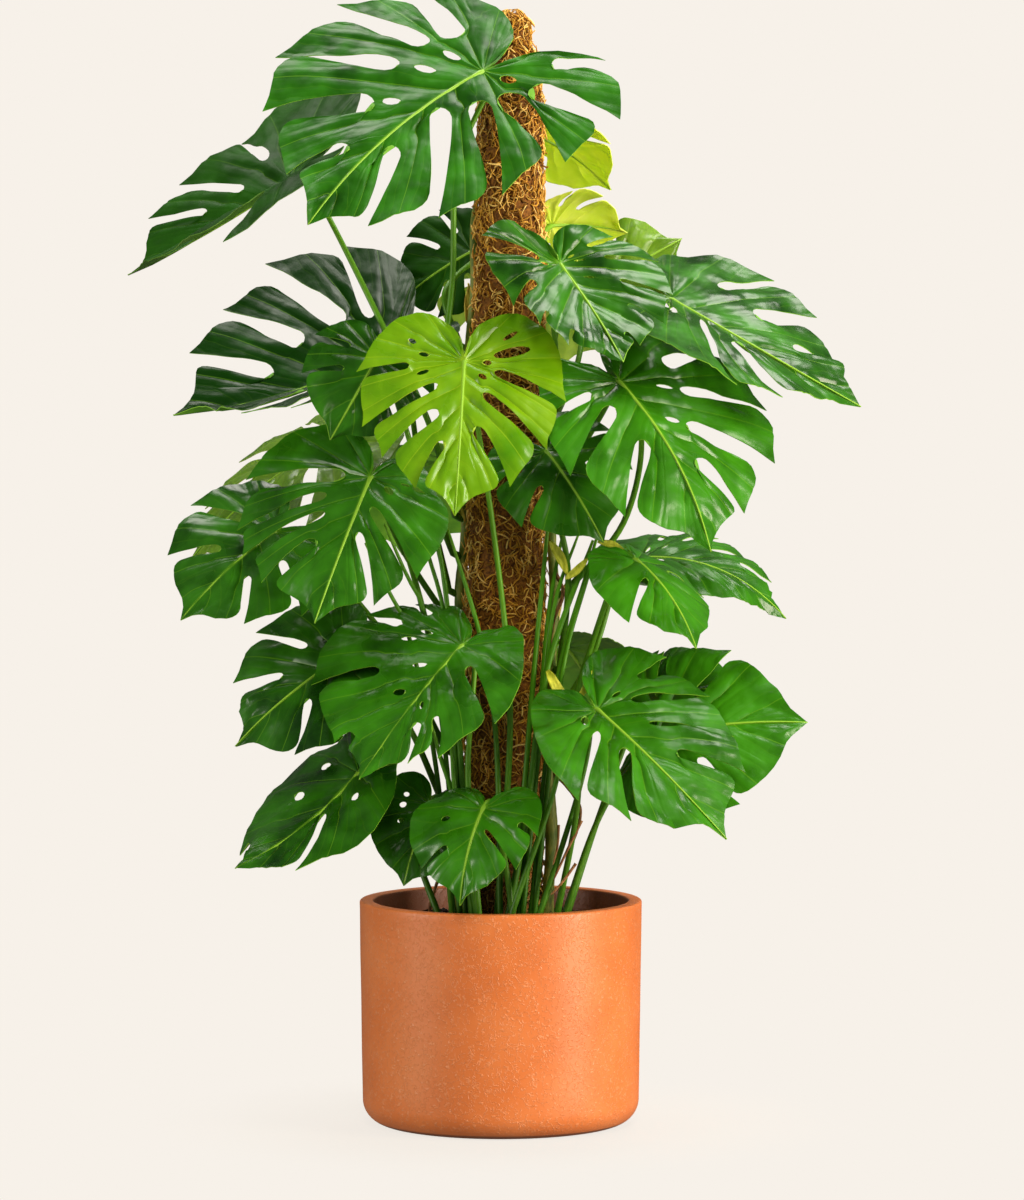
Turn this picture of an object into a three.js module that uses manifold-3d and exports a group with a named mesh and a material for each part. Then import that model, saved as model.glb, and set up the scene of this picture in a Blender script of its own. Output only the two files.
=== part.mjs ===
// A potted swiss cheese vine (Monstera deliciosa) on a coir moss pole, in a terracotta cylinder pot.
// Millimetres, +Z up. The origin is the middle of the pot's flat base. -Y is the front, +X is the right.
import * as THREE from "three";
import { mergeVertices } from "three/addons/utils/BufferGeometryUtils.js";
import Module from "manifold-3d";

const wasm = await Module();
wasm.setup();

// Driving dimensions of the pot.
const POT_HEIGHT = 238;
const POT_RIM_RADIUS = 150;
const POT_LOW_RADIUS = 147;
const POT_FOOT_ROUND = 26;
const POT_WALL = 15;
const POT_FLOOR = 18;
const POT_EDGE_ROUND = 2.5;
const POT_SIDES = 36;

// Driving dimensions of what stands in the pot.
const SOIL_TOP = 214;
const FIT_GAP = 0.35;
const STAKE_RADIUS = 14;
const STAKE_TOP = 1164;
const STAKE_SIDES = 12;
const SLEEVE_BOTTOM = 44;
const SLEEVE_TOP = 1178;
const SLEEVE_SIDES = 18;
const SLEEVE_ROUGHNESS = 1.6;
const POLE_LEAN = 11;
const STEM_SIDES = 7;
const STEM_ROW = 58;

// Driving dimensions of the leaves.
const BLADE_THICKNESS = 1.3;
const STALK_SIDES = 5;
const STALK_RADIUS = 2.7;
const STALK_BASE_RADIUS = 4.2;
const PLANTED_DEPTH = 38;
const ROOT_RADIUS = 2.4;

const DEGREE = Math.PI / 180;
const UP = new THREE.Vector3(0, 0, 1);

// A fixed random number from 0 to 1 for each seed.
function seeded(seed) {
  const wave = Math.sin(seed * 127.1 + 311.7) * 43758.5453;
  return wave - Math.floor(wave);
}

// Value of a line chart given as [place, value] pairs in rising order of place.
function chart(pairs, place) {
  if (place <= pairs[0][0]) return pairs[0][1];
  for (let i = 1; i < pairs.length; i++) {
    const [from, low] = pairs[i - 1];
    const [to, high] = pairs[i];
    if (place <= to) return low + ((high - low) * (place - from)) / (to - from);
  }
  return pairs[pairs.length - 1][1];
}

// Rises smoothly from 0 to 1 as a share goes from 0 to 1.
function smooth(share) {
  const part = Math.min(1, Math.max(0, share));
  return part * part * (3 - 2 * part);
}

// A closed geometry as a solid that can be joined and cut.
function toSolid(geometry) {
  const bare = geometry.index ? geometry.toNonIndexed() : geometry.clone();
  bare.deleteAttribute("normal");
  bare.deleteAttribute("uv");
  const merged = mergeVertices(bare, 1e-3);
  return new wasm.Manifold(
    new wasm.Mesh({
      numProp: 3,
      vertProperties: merged.attributes.position.array,
      triVerts: new Uint32Array(merged.index.array),
    }),
  );
}

function toGeometry(solid) {
  const mesh = solid.getMesh();
  const places = new Float32Array(mesh.numVert * 3);
  for (let i = 0; i < mesh.numVert; i++) {
    places.set(mesh.vertProperties.subarray(i * mesh.numProp, i * mesh.numProp + 3), i * 3);
  }
  const geometry = new THREE.BufferGeometry();
  geometry.setAttribute("position", new THREE.BufferAttribute(places, 3));
  geometry.setIndex(new THREE.BufferAttribute(mesh.triVerts, 1));
  geometry.computeVertexNormals();
  return geometry;
}

function geometryOf(points, triangles) {
  const geometry = new THREE.BufferGeometry();
  const numbers = points.flatMap((point) => point.toArray());
  geometry.setAttribute("position", new THREE.Float32BufferAttribute(numbers, 3));
  geometry.setIndex(triangles.flat());
  return geometry;
}

// A closed tube through a list of points, with a radius for each point.
function sweep(points, radii, sides) {
  const last = points.length - 1;
  const rings = [];
  let across = null;
  for (let i = 0; i <= last; i++) {
    const along = points[Math.min(i + 1, last)].clone().sub(points[Math.max(i - 1, 0)]).normalize();
    if (!across) {
      const helper = Math.abs(along.z) > 0.9 ? new THREE.Vector3(1, 0, 0) : UP;
      across = new THREE.Vector3().crossVectors(helper, along);
    }
    across.addScaledVector(along, -across.dot(along)).normalize();
    const third = new THREE.Vector3().crossVectors(along, across);
    for (let k = 0; k < sides; k++) {
      const turn = (2 * Math.PI * k) / sides;
      rings.push(
        points[i]
          .clone()
          .addScaledVector(across, radii[i] * Math.cos(turn))
          .addScaledVector(third, radii[i] * Math.sin(turn)),
      );
    }
  }
  const triangles = [];
  for (let i = 0; i < last; i++) {
    for (let k = 0; k < sides; k++) {
      const next = (k + 1) % sides;
      const [a, b, c, d] = [i * sides + k, i * sides + next, (i + 1) * sides + next, (i + 1) * sides + k];
      triangles.push([a, b, c], [a, c, d]);
    }
  }
  for (let k = 1; k < sides - 1; k++) {
    const top = last * sides;
    triangles.push([0, k + 1, k], [top, top + k, top + k + 1]);
  }
  return geometryOf(rings, triangles);
}

// The pole is straight and leans a little to the right.
function poleX(height) {
  return 1 + (POLE_LEAN * (height - SOIL_TOP)) / (SLEEVE_TOP - SOIL_TOP);
}

const SLEEVE_PROFILE = [
  [SLEEVE_BOTTOM, 42],
  [500, 42.5],
  [760, 39],
  [950, 36],
  [1090, 33.5],
  [1120, 29],
  [1150, 20.5],
  [SLEEVE_TOP - 6, 17.5],
];
function sleeveRadius(height) {
  return chart(SLEEVE_PROFILE, height);
}

// Pot: one turned profile, from the axis over the outside, the rim and the inside back to the axis.
function makePot() {
  const flat = POT_LOW_RADIUS - POT_FOOT_ROUND;
  const inner = POT_RIM_RADIUS - POT_WALL;
  const profile = [new THREE.Vector2(0, 0)];
  for (let step = 0; step <= 4; step++) {
    const turn = (step / 4) * (Math.PI / 2);
    profile.push(
      new THREE.Vector2(flat + POT_FOOT_ROUND * Math.sin(turn), POT_FOOT_ROUND * (1 - Math.cos(turn))),
    );
  }
  profile.push(
    new THREE.Vector2(POT_RIM_RADIUS, POT_HEIGHT - POT_EDGE_ROUND),
    new THREE.Vector2(POT_RIM_RADIUS - POT_EDGE_ROUND, POT_HEIGHT),
    new THREE.Vector2(inner + POT_EDGE_ROUND, POT_HEIGHT),
    new THREE.Vector2(inner, POT_HEIGHT - POT_EDGE_ROUND),
    new THREE.Vector2(inner - 3, POT_FLOOR + 20),
    new THREE.Vector2(inner - 20, POT_FLOOR),
    new THREE.Vector2(0, POT_FLOOR),
  );
  return new THREE.LatheGeometry(profile, POT_SIDES).rotateX(Math.PI / 2);
}

// Potting soil: fills the pot, with a slightly uneven top. Its holes are cut later.
function makeSoil() {
  const inner = POT_RIM_RADIUS - POT_WALL;
  const floor = POT_FLOOR + FIT_GAP;
  const wallAt = (height) => inner - 3 + (3 * (height - POT_FLOOR - 20)) / (POT_HEIGHT - POT_FLOOR - 20);
  const profile = [
    new THREE.Vector2(0, floor),
    new THREE.Vector2(inner - 20.5, floor),
    new THREE.Vector2(inner - 3.5, POT_FLOOR + 20.2),
    new THREE.Vector2(wallAt(SOIL_TOP) - 1.2, SOIL_TOP - 6),
    new THREE.Vector2(inner - 13, SOIL_TOP - 2),
    new THREE.Vector2(inner - 50, SOIL_TOP),
    new THREE.Vector2(0, SOIL_TOP),
  ];
  const geometry = new THREE.LatheGeometry(profile, POT_SIDES).rotateX(Math.PI / 2);
  const places = geometry.attributes.position;
  for (let i = 0; i < places.count; i++) {
    const [x, y, z] = [places.getX(i), places.getY(i), places.getZ(i)];
    if (z < SOIL_TOP - 4) continue;
    const swell = 2 * Math.sin(x / 19 + 1) * Math.cos(y / 23) + 1.2 * Math.sin((x + 2 * y) / 13);
    places.setZ(i, z + swell);
  }
  return geometry;
}

function makeStake() {
  const heights = [POT_FLOOR + FIT_GAP, STAKE_TOP];
  const points = heights.map((height) => new THREE.Vector3(poleX(height), 0, height));
  return sweep(points, [STAKE_RADIUS, STAKE_RADIUS], STAKE_SIDES);
}

// Coir sleeve: a rough tapered sock of fibre over the stake, open at its foot.
function makeSleeve() {
  const rows = 20;
  const bore = STAKE_RADIUS + FIT_GAP;
  const profile = [new THREE.Vector2(0, SLEEVE_TOP)];
  for (let row = 0; row <= rows; row++) {
    const height = SLEEVE_TOP - 6 - ((SLEEVE_TOP - 6 - SLEEVE_BOTTOM) * row) / rows;
    profile.push(new THREE.Vector2(sleeveRadius(height), height));
  }
  profile.push(
    new THREE.Vector2(bore, SLEEVE_BOTTOM),
    new THREE.Vector2(bore, STAKE_TOP + FIT_GAP),
    new THREE.Vector2(0, STAKE_TOP + FIT_GAP),
  );
  const geometry = new THREE.LatheGeometry(profile.reverse(), SLEEVE_SIDES).rotateX(Math.PI / 2);
  const places = geometry.attributes.position;
  for (let i = 0; i < places.count; i++) {
    const [x, y, z] = [places.getX(i), places.getY(i), places.getZ(i)];
    const radius = Math.hypot(x, y);
    let factor = 1;
    if (radius > bore + 1 && z > SOIL_TOP + 8) {
      const share = Math.atan2(y, x) / (2 * Math.PI) + 1;
      const side = Math.round(share * SLEEVE_SIDES) % SLEEVE_SIDES;
      factor += (SLEEVE_ROUGHNESS * (seeded(side * 7.3 + Math.round(z)) - 0.6)) / radius;
    }
    places.setXYZ(i, x * factor + poleX(z), y * factor, z);
  }
  return geometry;
}

// Vine stems climb the pole's sides and back, each with knuckles and some old papery leaf sheaths.
const STEMS = [
  { name: "vine_stem_1", side: -14, turn: 14, top: 830, radius: 7.5, sheaths: [410, 535, 660] },
  { name: "vine_stem_2", side: 52, turn: 22, top: 1075, radius: 8, sheaths: [500, 770, 930] },
  { name: "vine_stem_3", side: 168, turn: -26, top: 985, radius: 7.5, sheaths: [480, 640, 850] },
  { name: "vine_stem_4", side: 112, turn: -6, top: 900, radius: 7.5, sheaths: [430, 690] },
];
const STEM_FOOT = SOIL_TOP - 62;

function stemRadius(stem, height) {
  return stem.radius * (1 - 0.35 * Math.max(0, (height - SOIL_TOP) / (stem.top - SOIL_TOP)));
}

// Middle of a stem at a height, pressed to the pole from a little above the soil.
function stemPoint(stem, height) {
  const climb = (height - SOIL_TOP) / (stem.top - SOIL_TOP);
  const turn = (stem.side + stem.turn * climb) * DEGREE;
  const off = sleeveRadius(Math.min(height, 1060)) + 1.6 + stem.radius + 1.6 * Math.sin(height / 21);
  return new THREE.Vector3(poleX(height) + off * Math.cos(turn), off * Math.sin(turn), height);
}

// The rows of a stem's rings: each a middle and a radius.
function stemRows(stem) {
  const count = Math.round((stem.top - STEM_FOOT) / STEM_ROW);
  const rows = [];
  for (let i = 0; i <= count; i++) {
    const height = STEM_FOOT + ((stem.top - STEM_FOOT) * i) / count;
    const radius = i === count ? 2 : stemRadius(stem, height) * (i % 2 ? 1 : 0.86);
    rows.push({ middle: stemPoint(stem, height), radius });
  }
  return rows;
}

// Middle and radius of a stem at a height, between its rings.
function stemAt(stem, height) {
  const rows = stemRows(stem);
  const i = Math.max(1, rows.findIndex(({ middle }) => middle.z >= height));
  const [low, high] = [rows[i - 1], rows[i]];
  const share = (height - low.middle.z) / (high.middle.z - low.middle.z);
  return {
    middle: low.middle.clone().lerp(high.middle, share),
    radius: low.radius + (high.radius - low.radius) * share,
  };
}

// Direction from the pole's middle out through a point, level.
function outFromPole(point) {
  return point.clone().sub(new THREE.Vector3(poleX(point.z), 0, point.z)).setZ(0).normalize();
}

// A stem with its sheaths, made thicker by a gap where it is used to cut its neighbours.
function makeStem(stem, gap) {
  const rows = stemRows(stem);
  const points = rows.map(({ middle }) => middle);
  let solid = toSolid(sweep(points, rows.map(({ radius }) => radius + gap), STEM_SIDES));
  stem.sheaths.forEach((height, i) => {
    const { middle, radius } = stemAt(stem, height);
    const side = UP.clone().cross(outFromPole(middle)).multiplyScalar(i % 2 ? 0.8 : -0.8);
    const out = outFromPole(middle).add(side).normalize();
    const path = [[0, 0], [radius + 1, 8], [radius + 5, 22], [radius + 9, 34]].map(([off, up]) =>
      middle.clone().addScaledVector(out, off).addScaledVector(UP, up),
    );
    solid = solid.add(toSolid(sweep(path, [3, 3.4, 2.4, 0.6].map((r) => r + gap), 5)));
  });
  return solid;
}

// Half a blade's margin: [angle from the tip's direction, reach from the sinus as a share of the length].
const MARGIN = [
  [0, 1],
  [4, 0.92],
  [9, 0.875],
  [20, 0.85],
  [38, 0.79],
  [60, 0.745],
  [85, 0.655],
  [105, 0.575],
  [125, 0.49],
  [142, 0.375],
  [158, 0.23],
  [170, 0.1],
];

const BASE_ANGLES = [170, 158, 142, 125, 105];
const TIP_ANGLE = 5;
const MIDRIB_STEPS = [0.48, 0.64, 0.82];
const HOLE_HALF = 0.06;

// Where the vein at an angle leaves the midrib, as a share of the length.
function veinFoot(angle) {
  if (angle >= 66) return 0;
  if (angle >= 20) return 0.5 * (1 - angle / 66);
  return 0.348 + 0.652 * ((20 - angle) / 20) ** 1.5;
}

// A place on half a blade: along a vein's angle, a share of the way out to the margin.
function spot(angle, out) {
  const foot = veinFoot(angle);
  const reach = chart(MARGIN, angle);
  const endAlong = reach * Math.cos(angle * DEGREE);
  const endAcross = reach * Math.sin(angle * DEGREE);
  const bow = 0.14 * out * (1 - out) * reach * Math.max(0, Math.cos(angle * DEGREE));
  return [foot + (endAlong - foot) * out - bow, endAcross * out];
}

// One edge of a cut. The cut opens from its inner end to the margin, and may have a hole before it.
// The lobe on its base side ends in a hooked point, and the one on its tip side in a round shoulder.
// A cut whose inner end is at the margin stays closed, so only its hole is open.
function cutEdge([angle, inner, width, hole], toTip) {
  const rows = [[0, 0]];
  if (hole) rows.push([hole - HOLE_HALF, 0], [hole, inner < 1 ? 0.5 : 1], [hole + HOLE_HALF, 0]);
  if (inner < 1) {
    const span = 1 - inner;
    rows.push([inner, 0], [inner + 0.1 * span, 0.75], [inner + 0.5 * span, 1]);
    rows.push(toTip ? [0.91, 1] : [1.05, 0.5]);
  } else {
    rows.push([1, 0]);
  }
  return rows.map(([out, open]) => {
    const [along, across] = spot(angle, out);
    const shift = (open * width * (toTip ? 1 : -1)) / 2;
    return {
      along: along + shift * Math.sin(angle * DEGREE),
      across: across - shift * Math.cos(angle * DEGREE),
    };
  });
}

// The lobes of half a blade, each as two chains of places that start and end together.
function lobeChains(cuts, midrib) {
  const place = ([along, across]) => ({ along, across });
  const lobes = [];
  for (let i = 0; i <= cuts.length; i++) {
    const [lower, upper] = [cuts[i - 1], cuts[i]];
    const from = lower ? veinFoot(lower[0]) : 0;
    const to = upper ? veinFoot(upper[0]) : 1;
    const base = lower ? cutEdge(lower, true) : [{ along: 0, across: 0 }];
    const endAngle = upper ? upper[0] : TIP_ANGLE;
    if (lower) {
      const turn = endAngle - lower[0];
      base.push(place(spot(lower[0] + 0.35 * turn, 1)), place(spot(lower[0] + 0.72 * turn, 1.01)));
      if (!upper) base.push(place(spot(TIP_ANGLE, 1)));
    } else {
      const angles = BASE_ANGLES.filter((angle) => angle > endAngle + 9);
      base.push(...angles.map((angle) => place(spot(angle, 1))));
    }
    const tip = [from, ...midrib.filter((m) => m > from + 1e-6 && m < to - 1e-6)].map((m) => place([m, 0]));
    tip.push(...(upper ? cutEdge(upper, false).slice(to === from ? 1 : 0) : [place([1, 0])]));
    base.push(tip[tip.length - 1]);
    lobes.push([base, tip]);
  }
  return lobes;
}

// Triangles of the flat blade between each lobe's two chains, with places shared where cuts are closed.
function flatBlade(cutsLeft, cutsRight) {
  const feet = [...cutsLeft, ...cutsRight].map(([angle]) => veinFoot(angle));
  const midrib = [...feet, ...MIDRIB_STEPS].sort((a, b) => a - b);
  const places = [];
  const known = new Map();
  const indexOf = ({ along, across }, side) => {
    const key = `${along.toFixed(4)},${(across * side).toFixed(4)}`.replace(",-0.0000", ",0.0000");
    if (!known.has(key)) {
      known.set(key, places.length);
      places.push([along, across * side]);
    }
    return known.get(key);
  };
  const triangles = [];
  for (const [cuts, side] of [[cutsLeft, 1], [cutsRight, -1]]) {
    for (const chains of lobeChains(cuts, midrib)) {
      const [base, tip] = chains.map((chain) => chain.map((spotted) => indexOf(spotted, side)));
      triangles.push(...betweenChains(base, tip, places, side));
    }
  }
  return { places, triangles };
}

// Triangles between two chains of place numbers, always by the shorter sound cross edge.
function betweenChains(base, tip, places, side) {
  const area = (a, b, c) => {
    const [[ax, ay], [bx, by], [cx, cy]] = [places[a], places[b], places[c]];
    return side * ((bx - ax) * (cy - ay) - (cx - ax) * (by - ay));
  };
  const gap = (a, b) => Math.hypot(places[a][0] - places[b][0], places[a][1] - places[b][1]);
  const triangles = [];
  let i = 1;
  let j = 0;
  const [lastBase, lastTip] = [base.length - 2, tip.length - 2];
  while (i < lastBase || j < lastTip) {
    const canTip = j < lastTip && area(base[i], tip[j], tip[j + 1]) > 1e-6;
    const canBase = i < lastBase && area(base[i], tip[j], base[i + 1]) > 1e-6;
    const tipShorter = gap(base[i], tip[j + 1]) <= gap(base[i + 1], tip[j]);
    if (i === lastBase || (j < lastTip && (canTip === canBase ? tipShorter : canTip))) {
      triangles.push([base[i], tip[j], tip[j + 1]]);
      j++;
    } else {
      triangles.push([base[i], tip[j], base[i + 1]]);
      i++;
    }
  }
  triangles.push([base[lastBase], tip[lastTip], tip[lastTip + 1]]);
  return triangles
    .filter(([a, b, c]) => a !== b && b !== c && a !== c)
    .map(([a, b, c]) => (side > 0 ? [a, c, b] : [a, b, c]));
}

// Maps flat blade places to the leaf's own bent surface in space.
function bladeSurface(leaf) {
  const sinus = new THREE.Vector3(...leaf.sinus);
  const tip = new THREE.Vector3(...leaf.tip);
  const length = sinus.distanceTo(tip);
  const along = tip.clone().sub(sinus).normalize();
  const [turn, rise] = leaf.face.map((angle) => angle * DEGREE);
  const face = new THREE.Vector3(
    Math.sin(turn) * Math.cos(rise),
    -Math.cos(turn) * Math.cos(rise),
    Math.sin(rise),
  );
  face.addScaledVector(along, -face.dot(along)).normalize();
  const left = new THREE.Vector3().crossVectors(along, face);
  const { arch = 0.06, fold = 0.06, droop = 0.22, ripple = 0.012, sway = 0 } = leaf;
  const { spread = [1, 1], base = [1, 1] } = leaf;
  const at = (u, v) => {
    const half = v > 0 ? 0 : 1;
    const bow = 1 - (2 * u - 1) ** 2;
    const angle = Math.atan2(Math.abs(v), u);
    const lobe = 1 + (base[half] - 1) * smooth((angle / DEGREE - 70) / 40);
    const waves = ripple * Math.hypot(u, v) * Math.sin(angle * 9 + half * 2 + leaf.sinus[0]);
    const lift = arch * bow + fold * Math.abs(v) - droop * v * v + waves;
    return sinus
      .clone()
      .addScaledVector(along, u * lobe * length)
      .addScaledVector(left, (v * lobe * spread[half] + sway * bow) * length)
      .addScaledVector(face, lift * length);
  };
  const normalAt = (u, v) => {
    const step = 0.02;
    const du = at(u + step, v).sub(at(u - step, v));
    const dv = at(u, v + step).sub(at(u, v - step));
    return new THREE.Vector3().crossVectors(dv, du).normalize();
  };
  return { at, normalAt, face, along, left, length };
}

function bladeGeometry(leaf, surface) {
  const { places, triangles } = flatBlade(leaf.cuts[0], leaf.cuts[1]);
  const points = [];
  for (const offset of [0.5, -0.5]) {
    for (const [u, v] of places) {
      points.push(surface.at(u, v).addScaledVector(surface.normalAt(u, v), offset * BLADE_THICKNESS));
    }
  }
  const count = places.length;
  const faces = [];
  const edges = new Map();
  for (const [a, b, c] of triangles) {
    faces.push([a, b, c], [a + count, c + count, b + count]);
    for (const [from, to] of [[a, b], [b, c], [c, a]]) {
      const back = to + "," + from;
      if (edges.has(back)) edges.delete(back);
      else edges.set(from + "," + to, [from, to]);
    }
  }
  for (const [from, to] of edges.values()) {
    faces.push([from, from + count, to + count], [from, to + count, to]);
  }
  return geometryOf(points, faces);
}

// Where a leaf's stalk starts: in the middle of its stem, or in the soil.
function stalkStart(leaf) {
  if (leaf.soil) {
    const [x, y] = leaf.soil;
    const ends = [-PLANTED_DEPTH, 6].map((rise) => new THREE.Vector3(x, y, SOIL_TOP + rise));
    return { ends, first: STALK_BASE_RADIUS };
  }
  const { middle, radius } = stemAt(STEMS[leaf.stem], leaf.from);
  const next = new THREE.Vector3(...(leaf.route[0] ?? leaf.sinus));
  const away = next.sub(middle).setZ(0).normalize().addScaledVector(outFromPole(middle), 0.9).normalize();
  const rise = middle.clone().addScaledVector(away, radius + 6).addScaledVector(UP, 6);
  return { ends: [middle, rise], first: Math.min(STALK_BASE_RADIUS, radius * 0.7) };
}

function stalkPath(leaf, surface) {
  const under = BLADE_THICKNESS / 2 + STALK_RADIUS * 0.55;
  const knee = surface
    .at(-0.03, 0)
    .addScaledVector(surface.face, -14)
    .addScaledVector(surface.along, -6);
  const join = surface.at(0.01, 0).addScaledVector(surface.normalAt(0.02, 0), -under);
  const { ends, first } = stalkStart(leaf);
  const curve = new THREE.CatmullRomCurve3(
    [ends[1], ...leaf.route.map((point) => new THREE.Vector3(...point)), knee, join],
    false,
    "centripetal",
  );
  const steps = leaf.route.length * 2 + 3;
  const points = [ends[0]];
  for (let i = 0; i <= steps; i++) points.push(curve.getPointAt(i / steps));
  const radii = points.map((_, i) => first + (STALK_RADIUS - first) * Math.sqrt(i / (steps + 1)));
  for (const [share, radius] of [[0.12, 2.1], [0.26, 1.5], [0.4, 1]]) {
    const depth = BLADE_THICKNESS / 2 + radius * 0.3;
    points.push(surface.at(share, 0).addScaledVector(surface.normalAt(share, 0), -depth));
    radii.push(radius);
  }
  return { points, radii };
}

function makeLeaf(leaf, stemCutters, soilCutters) {
  const surface = bladeSurface(leaf);
  const { points, radii } = stalkPath(leaf, surface);
  const stalk = toSolid(sweep(points, radii, STALK_SIDES));
  const whole = toSolid(bladeGeometry(leaf, surface)).add(stalk);
  if (leaf.soil) {
    soilCutters.push(planted(points, radii));
    return whole;
  }
  return whole.subtract(stemCutters[leaf.stem]);
}

// The hole that the first pieces of a planted stalk need in the soil.
function planted(points, radii) {
  const wider = radii.slice(0, 4).map((radius) => radius + FIT_GAP);
  return toSolid(sweep(points.slice(0, 4), wider, STALK_SIDES));
}

// Aerial roots leave a stem and hang down, some of them into the soil.
const ROOTS = [
  {
    name: "aerial_root_1", stem: 0, from: 590,
    path: [[66, -28, 566], [57, -34, 540], [51, -38, 500], [54, -36, 470]],
  },
  { name: "aerial_root_2", stem: 0, from: 380, path: [[84, -30, 338], [76, -36, 300], [68, -38, 265]] },
  { name: "aerial_root_3", stem: 2, from: 300, path: [[-62, 8, 270], [-74, 6, 235], [-80, 2, 190]] },
  { name: "aerial_root_4", stem: 3, from: 520, path: [[-6, 72, 440], [-4, 78, 320], [-8, 80, 190]] },
];

function makeRoot(root, stemCutters, soilCutters) {
  const { middle } = stemAt(STEMS[root.stem], root.from);
  const line = [middle, ...root.path.map((point) => new THREE.Vector3(...point))];
  const points = new THREE.CatmullRomCurve3(line, false, "centripetal").getPoints(line.length * 2);
  const radii = points.map((_, i) => ROOT_RADIUS * (1 - (0.5 * i) / points.length));
  if (points[points.length - 1].z < SOIL_TOP) {
    const wider = radii.map((radius) => radius + FIT_GAP);
    soilCutters.push(toSolid(sweep(points, wider, STALK_SIDES)));
  }
  return toSolid(sweep(points, radii, STALK_SIDES)).subtract(stemCutters[root.stem]);
}

// Cuts of half a blade, from the base to the tip: [angle of the mouth, inner end, width, hole].
// Leaves that are seen only in part share these.
const FEW = [[82, 0.45, 0.05], [48, 0.42, 0.05]];
const SOME = [[88, 0.4, 0.05], [58, 0.34, 0.055], [32, 0.36, 0.05]];

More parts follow.
